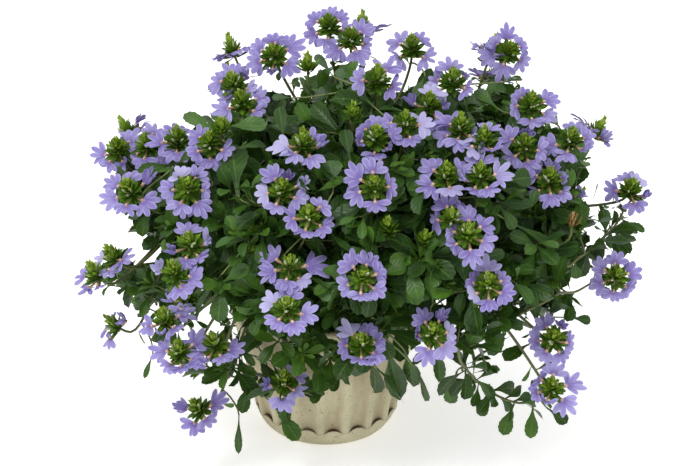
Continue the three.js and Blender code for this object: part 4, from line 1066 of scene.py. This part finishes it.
def bowl_skin():
    """Rows from the middle of the base up the outside, over the rim and down the inside."""
    column = np.arange(FLUTES * COLUMNS_PER_FLUTE) / COLUMNS_PER_FLUTE
    turn = (-90 + FLUTE_TURN + 360 * (column - 0.5) / FLUTES) * DEG
    across = (column % 1 * 2 - 1) / FLUTE_SHARE
    hollow = np.clip(1 - np.abs(across) ** 2.6, 0, 1)
    crest = np.clip(1 - (across / ARCH_SHARE) ** 2, 0, 1)
    arch = LEDGE_ARCH * crest ** 0.8
    rows = []

    def add(z, radius, darkening=0.0, flute=0.0):
        rows.append(np.broadcast_arrays(z, radius, darkening, flute, column)[:4])

    edge_in, edge_up = BASE_EDGE
    for radius in (0.0, 20 * MM, 40 * MM, BASE_RADIUS - edge_in):
        add(0, radius)
    add(edge_up, BASE_RADIUS)
    for share in np.linspace(0.1, 0.9, FOOT_ROWS):
        radius = BASE_RADIUS + (FOOT_RADIUS - BASE_RADIUS) * math.sqrt(share)
        add(share * FOOT_HEIGHT + arch * share ** 3, radius)
    for below, inward, darkening in LEDGE_ROWS:
        add(FOOT_HEIGHT - below * MM + arch, FOOT_RADIUS - inward * MM, darkening * crest)
    add(FOOT_HEIGHT + arch, FOOT_RADIUS - LEDGE_EDGE, LEDGE_DARKENING * crest ** 0.5, hollow)
    fluted_top = POT_HEIGHT - 2 * RIM_BAND
    rise_to_top = fluted_top - FOOT_HEIGHT
    for height in LOW_ROWS + list(np.linspace(FIRST_EVEN_ROW, rise_to_top / MM, EVEN_ROWS)):
        z = FOOT_HEIGHT + height * MM
        share = height * MM / rise_to_top
        kept = FLUTE_TOP_SHARE + (1 - FLUTE_TOP_SHARE) * math.exp(-share * FLUTE_FADE)
        depth = FLUTE_DEPTH * hollow * kept
        edge = min(1, height / EDGE_HEIGHT)
        darkening = crest ** 0.4 * sum(strength * math.exp(-height / fade) for strength, fade in DARKENING_FADES)
        radius = pot_radius(z) - LEDGE_EDGE * (1 - edge) - depth * edge ** 0.5
        add(z + arch * (1 - share) ** 3, radius, darkening, hollow)
    for share in np.linspace(0, 1, BAND_ROWS)[1:]:
        z = fluted_top + RIM_BAND * share
        fade = math.cos(share * math.pi / 2) if share < 1 else 0
        add(z, pot_radius(z) - depth * fade + BAND_SWELL * max(0, share - 0.7), flute=hollow * fade)
    for angle in np.linspace(*LIP_TURN, LIP_ROWS) * DEG:
        add(POT_HEIGHT + LIP_RADIUS * (math.sin(angle) - 1), RIM_RADIUS + LIP_RADIUS * (math.cos(angle) - 1))
    for z in np.linspace(POT_HEIGHT - 2 * LIP_RADIUS, POT_FLOOR, INNER_ROWS):
        add(z, inner_radius(z))
    add(POT_FLOOR, 25 * MM)
    add(POT_FLOOR, 0)
    z, radius, darkening, flute = np.array(rows).transpose(1, 0, 2)
    skin = Skin()
    skin.grids(np.stack([radius * np.cos(turn), radius * np.sin(turn), z], axis=-1)[None], 0, closed=True,
               across=across, tint=flute, pale=darkening)
    return skin


def inner_radius(z):
    share = (z - POT_FLOOR) / (POT_HEIGHT - POT_FLOOR)
    return INNER_BASE_RADIUS + (RIM_RADIUS - WALL - INNER_BASE_RADIUS) * share


# Soil: a crumbly dome with loose crumbs
def soil_skin():
    skin = Skin()
    edge = inner_radius(SOIL_TOP) - SOIL_GAP
    turn = np.arange(SOIL_COLUMNS) * TURN / SOIL_COLUMNS
    bottom = POT_FLOOR + SOIL_GAP
    rows = [(0.0, bottom, 0), (INNER_BASE_RADIUS - SOIL_GAP, bottom, 0), (edge, SOIL_TOP, 0)]
    for share in np.linspace(0.97, 0, SOIL_RINGS):
        rows.append((edge * share, SOIL_TOP + SOIL_DOME * (1 - share ** 2), SOIL_ROUGH * min(1, share * 8)))
    grid = []
    for radius, z, rough in rows:
        bump = rng.uniform(-1, 1, SOIL_COLUMNS) * rough
        grid.append(np.stack([radius * np.cos(turn), radius * np.sin(turn), z + bump], axis=-1))
    skin.grids(np.array(grid)[None], 0, closed=True, tint=rng.uniform(0, 1, (1, len(rows), SOIL_COLUMNS)))
    for _ in range(CRUMBS):
        radius, angle = (edge - CRUMBS_INSIDE) * math.sqrt(rng.uniform()), rng.uniform(0, TURN)
        size = rng.uniform(*CRUMB_RADIUS) * MM
        z = SOIL_TOP + SOIL_DOME * (1 - (radius / edge) ** 2) + size * 0.4
        middle = np.array([radius * math.cos(angle), radius * math.sin(angle), z])
        ball = ball_grid(middle, size, unit(rng.normal(0, 1, 3)))
        ball = middle + (ball - middle) * rng.uniform(0.75, 1.2, ball.shape[:3] + (1,))
        skin.grids(ball, 0, closed=True, tint=rng.uniform(0, 1))
    return skin


# Materials
class Value:
    """An output in a material's node tree. What is worked out from it is a node too."""

    def __init__(self, socket):
        self.socket = socket

    def give(self, socket):
        socket.id_data.links.new(self.socket, socket)

    def math(self, operation, other=0.0):
        return new_node(self.socket.id_data, "Math", {0: self, 1: other}, operation=operation)

    def __add__(self, other):
        return self.math("ADD", other)

    def __sub__(self, other):
        return self.math("SUBTRACT", other)

    def __mul__(self, other):
        return self.math("MULTIPLY", other)

    def __abs__(self):
        return self.math("ABSOLUTE")

    def fit(self, low, high, to_low=0.0, to_high=1.0):
        """Moves the stretch from low to high onto the one from to_low to to_high, and stops at its ends."""
        return new_node(self.socket.id_data, "MapRange", {
            "Value": self, "From Min": low, "From Max": high, "To Min": to_low, "To Max": to_high})


def new_node(tree, kind, inputs, output=0, **settings):
    node = tree.nodes.new(f"ShaderNode{kind}")
    for name, setting in settings.items():
        setattr(node, name, setting)
    for name, value in inputs.items():
        if isinstance(value, Value):
            value.give(node.inputs[name])
        elif value is not None:
            node.inputs[name].default_value = (*value, 1) if name in COLOURS else value
    return Value(node.outputs[output])


FIRST_COLOUR = 6
SECOND_COLOUR = 7
COLOURS = (FIRST_COLOUR, SECOND_COLOUR, "Color")
MIXED_COLOUR = 2


class Look:
    """A material, with short forms for its nodes."""

    def __init__(self, name, roughness, specular=0.4):
        self.material = bpy.data.materials.new(name)
        self.material.use_nodes = True
        self.tree = self.material.node_tree
        self.shader = self.tree.nodes["Principled BSDF"]
        self.shader.inputs["Roughness"].default_value = roughness
        self.shader.inputs["Specular IOR Level"].default_value = specular

    def value(self, name):
        return new_node(self.tree, "Attribute", {}, "Fac", attribute_name=name)

    def noise(self, scale, detail=3.0, rough=0.55, stretch=None):
        place = new_node(self.tree, "TexCoord", {}, "Object")
        if stretch:
            place = new_node(self.tree, "Mapping", {"Vector": place, "Scale": stretch})
        return new_node(self.tree, "TexNoise", {"Vector": place, "Scale": scale, "Detail": detail,
                                                "Roughness": rough}, "Fac")

    def ramp(self, value, stops):
        colour = new_node(self.tree, "ValToRGB", {"Fac": value})
        band = colour.socket.node.color_ramp
        while len(band.elements) < len(stops):
            band.elements.new(0.5)
        for element, (place, shade) in zip(band.elements, stops):
            element.position = place
            element.color = (*shade, 1)
        return colour

    def mix(self, share, a, b):
        return new_node(self.tree, "Mix", {"Factor": share, FIRST_COLOUR: a, SECOND_COLOUR: b}, MIXED_COLOUR,
                        data_type="RGBA")

    def finish(self, colour, height=None, strength=0.0, distance=0.0, through=0.0, through_colour=None):
        """Gives the material its colour, its bumps and the share of light that comes through it."""
        colour.give(self.shader.inputs["Base Color"])
        new_node(self.tree, "Bump", {"Height": height, "Strength": strength, "Distance": distance * MM},
                 "Normal").give(self.shader.inputs["Normal"])
        if through:
            glow = new_node(self.tree, "BsdfTranslucent", {"Color": through_colour or colour})
            plain = Value(self.shader.outputs[0])
            both = new_node(self.tree, "MixShader", {"Fac": through, 1: plain, 2: glow})
            both.give(self.tree.nodes["Material Output"].inputs["Surface"])
        return self.material


LEAF_STOPS = ((0.0, (0.010, 0.026, 0.005)), (0.3, (0.026, 0.070, 0.011)), (0.6, (0.065, 0.150, 0.014)),
              (1.0, (0.16, 0.27, 0.02)))
GREEN_STOPS = ((0.0, (0.018, 0.055, 0.006)), (0.45, (0.07, 0.16, 0.010)), (0.8, (0.18, 0.31, 0.02)),
               (1.0, (0.30, 0.42, 0.05)))
SPENT_STOPS = ((0.0, (0.10, 0.06, 0.02)), (0.5, (0.26, 0.16, 0.05)), (1.0, (0.42, 0.30, 0.10)))
STEM_STOPS = ((0.0, (0.07, 0.045, 0.025)), (0.4, (0.10, 0.12, 0.035)), (1.0, (0.17, 0.23, 0.06)))
INNER_SHADE_STOPS = ((0.3, (0.006, 0.012, 0.005)), (0.7, (0.03, 0.06, 0.018)))


def leaf_material():
    look = Look("leaf_green", 0.38, 0.26)
    along, across = look.value("along"), abs(look.value("across"))
    body = look.ramp(look.value("tint") + look.noise(90).fit(0.3, 0.7, -0.10, 0.10), LEAF_STOPS)
    veins = ((along - across * 0.22) * 46.0).math("SINE")
    midrib, edge = across.fit(0.02, 0.10, 0.5, 0.0), across.fit(0.86, 1.0, 0.0, 0.3)
    light = veins.fit(0.75, 1.0, 0.0, 0.18).math("MAXIMUM", midrib).math("MAXIMUM", edge)
    colour = look.mix(light, body, (0.12, 0.22, 0.05))
    # Painted sheen: on some leaves, patches mixed towards a pale blue-green that stands in for the sky's
    # sheen on them
    painted_sheen = look.value("pale").fit(0.6, 1.0, 0.0, 0.35) * look.noise(45).fit(0.3, 0.7)
    colour = look.mix(painted_sheen, colour, (0.045, 0.11, 0.05))
    height = veins * -0.5 + look.noise(220) * 0.6
    return look.finish(colour, height, strength=0.35, distance=0.4, through=0.16,
                       through_colour=look.mix(0.5, colour, (0.09, 0.20, 0.01)))


def bract_material(name, stops, share):
    look = Look(name, 0.45)
    value = look.value("tint") + look.value("along") * 0.25 + look.noise(260).fit(0.3, 0.7, -0.12, 0.12)
    midrib = abs(look.value("across")).fit(0.0, 0.25, 0.35, 0.0)
    colour = look.mix(midrib, look.ramp(value, stops), stops[-1][1])
    return look.finish(colour, look.noise(420), strength=0.3, distance=0.3, through=share)


def stem_material():
    look = Look("stem_olive", 0.5)
    value = look.value("tint") + look.noise(130).fit(0.3, 0.7, -0.2, 0.2)
    return look.finish(look.ramp(value, STEM_STOPS), look.noise(500), strength=0.4, distance=0.3)


# Near-black lumpy colour: painted shade for the inside of the bush
def inner_shade_material():
    look = Look("inner_shade", 0.8, 0.2)
    colour = look.ramp(look.noise(150, detail=5.0), INNER_SHADE_STOPS)
    return look.finish(colour, look.noise(180, detail=5.0), strength=1.0, distance=4)


def lobe_material():
    look = Look("petal_violet", 0.55, 0.3)
    along, signed = look.value("along"), look.value("across")
    across = abs(signed)
    tone = look.value("tint") * 0.5 + look.noise(120).fit(0.3, 0.7, 0.0, 0.5)
    body = look.mix(tone, (0.21, 0.16, 0.46), (0.40, 0.36, 0.66))
    edge = across.fit(0.45, 0.95) * along.fit(0.2, 0.6) * 0.5
    colour = look.mix(edge, body, (0.50, 0.48, 0.76))
    folds = abs(across - 0.28).fit(0.02, 0.14, 0.5, 0.0) * along.fit(0.9, 0.5)
    colour = look.mix(folds, colour, (0.16, 0.10, 0.38))
    colour = look.mix(along.fit(0.42, 0.16) * 0.6, colour, (0.19, 0.12, 0.40))
    colour = look.mix(along.fit(0.13, 0.05, 0.0, 0.75), colour, (0.66, 0.58, 0.46))
    bleached = look.mix(folds * 0.6, (0.53, 0.51, 0.76), (0.30, 0.23, 0.55))
    colour = look.mix(look.value("pale"), colour, bleached)
    wrinkles = (signed * 14.0).math("SINE") * 0.6
    return look.finish(colour, wrinkles + look.noise(300), strength=0.35, distance=0.3, through=0.3)


def tinted_material(name, roughness, low, high, scale, depth):
    look = Look(name, roughness)
    value = look.value("tint") * 0.5 + look.noise(scale) * 0.5
    colour = look.mix(value.fit(0.2, 0.8), low, high)
    return look.finish(colour, look.noise(scale * 1.7), strength=0.5, distance=depth)


def tube_material():
    look = Look("flower_tube", 0.55)
    colour = look.mix(look.value("along"), (0.16, 0.17, 0.05), (0.42, 0.24, 0.16))
    colour = look.mix(look.noise(300).fit(0.35, 0.7, 0.0, 0.5), colour, (0.24, 0.12, 0.10))
    return look.finish(colour, look.noise(600), strength=0.4, distance=0.2)


def stone_material():
    look = Look("cast_stone", 0.85, 0.25)
    flute = look.value("tint")
    colour = look.mix(look.noise(24, 4.0).fit(0.35, 0.65), (0.385, 0.35, 0.225), (0.53, 0.50, 0.335))
    speckle = look.noise(800, 2.0).fit(0.56, 0.70, 0.0, 0.5)
    pits = look.noise(330, 2.0).fit(0.66, 0.72, 0.0, 0.8)
    streaks = look.noise(70, detail=4.0, rough=0.6, stretch=(1.0, 1.0, 0.08)).fit(0.46, 0.70, 0.0, 0.75)
    streaks = streaks * flute.fit(0.1, 0.9, 0.2, 1.0)
    # Darker brown along the ledge corner of each flute, fading up the flute
    corner_darkening = look.value("pale") * look.noise(90, 4.0).fit(0.3, 0.6, 0.7, 1.25)
    for share, shade in ((speckle, (0.24, 0.18, 0.11)), (pits, (0.12, 0.08, 0.05)),
                         (flute.fit(0.0, 0.8, 0.0, 0.32), (0.30, 0.245, 0.145)),
                         (streaks, (0.27, 0.19, 0.11)), (corner_darkening, (0.075, 0.038, 0.018))):
        colour = look.mix(share, colour, shade)
    return look.finish(colour, look.noise(700, 4.0) * 0.7 + pits * -1.0, strength=0.45, distance=0.6)


def floor_material():
    look = Look("floor_pale", 0.9, 0.1)
    look.shader.inputs["Base Color"].default_value = (0.93, 0.93, 0.93, 1)
    look.shader.inputs["Emission Color"].default_value = (1, 1, 1, 1)
    look.shader.inputs["Emission Strength"].default_value = 0.42
    return look.material


green_materials = [
    leaf_material(), bract_material("bract_green", GREEN_STOPS, 0.25), stem_material(), inner_shade_material(),
    tinted_material("bud_pale", 0.5, (0.28, 0.38, 0.12), (0.62, 0.62, 0.52), 250, 0.2),
    bract_material("seed_head_brown", SPENT_STOPS, 0.1)]
petal_materials = [lobe_material(), tube_material(),
                   tinted_material("throat_tan", 0.6, (0.36, 0.22, 0.15), (0.62, 0.45, 0.33), 400, 0.2)]
soil_material = tinted_material("potting_soil", 0.95, (0.012, 0.009, 0.006), (0.07, 0.05, 0.03), 300, 1.0)

# Pieces, one for each solid
pieces = []
for names, skins, materials, slot in ((STEM_NAMES, stem_skins, green_materials, "foliage"),
                                      (BLOOM_NAMES, bloom_skins, petal_materials, "petal")):
    pieces += [(f"dressed_{name}", skin, materials, name, slot) for name, skin in zip(names, skins)]
pieces += [("fluted_bowl", bowl_skin(), [stone_material()], "pot", "stone"),
           ("crumbly_soil", soil_skin(), [soil_material], "soil", "soil")]
for piece_name, skin, materials, node, slot in pieces:
    piece = skin.build(piece_name, materials)
    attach(piece, "root")
    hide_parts(node)

# Floor, light and camera
FLOOR_HALF = 6.0
KEY_PLACE = (-0.7, -1.05, 1.95)
KEY_AIM = (0, 0, 0.2)
KEY_SIZE = 0.9
KEY_WATTS = 26
SENSOR = 36
mesh = bpy.data.meshes.new("floor")
corners = [(x * FLOOR_HALF, y * FLOOR_HALF, 0) for x, y in ((-1, -1), (1, -1), (1, 1), (-1, 1))]
mesh.from_pydata(corners, [], [(0, 1, 2, 3)])
mesh.materials.append(floor_material())
add_object("floor", mesh)

world = bpy.data.worlds.new("studio")
world.use_nodes = True
world.node_tree.nodes["Background"].inputs["Color"].default_value = (1, 1, 1, 1)
world.node_tree.nodes["Background"].inputs["Strength"].default_value = 1.0
bpy.context.scene.world = world

light = bpy.data.lights.new("key", "AREA")
light.shape, light.size, light.energy = "DISK", KEY_SIZE, KEY_WATTS
lamp = add_object("key", light)
lamp.location = KEY_PLACE
lamp.rotation_euler = (Vector(KEY_AIM) - Vector(KEY_PLACE)).to_track_quat("-Z", "Y").to_euler()

view = bpy.data.cameras.new("front_view")
view.lens = SENSOR * VIEW_DISTANCE / VIEW_POINT / VIEW_WIDTH
view.sensor_width = SENSOR
view.clip_start, view.clip_end = 0.1, 50
camera = add_object("front_view", view)
camera.location = EYE
camera.rotation_euler = Vector(VIEW_AHEAD).to_track_quat("-Z", "Y").to_euler()
bpy.context.scene.camera = camera
bpy.context.scene.view_settings.view_transform = "Standard"
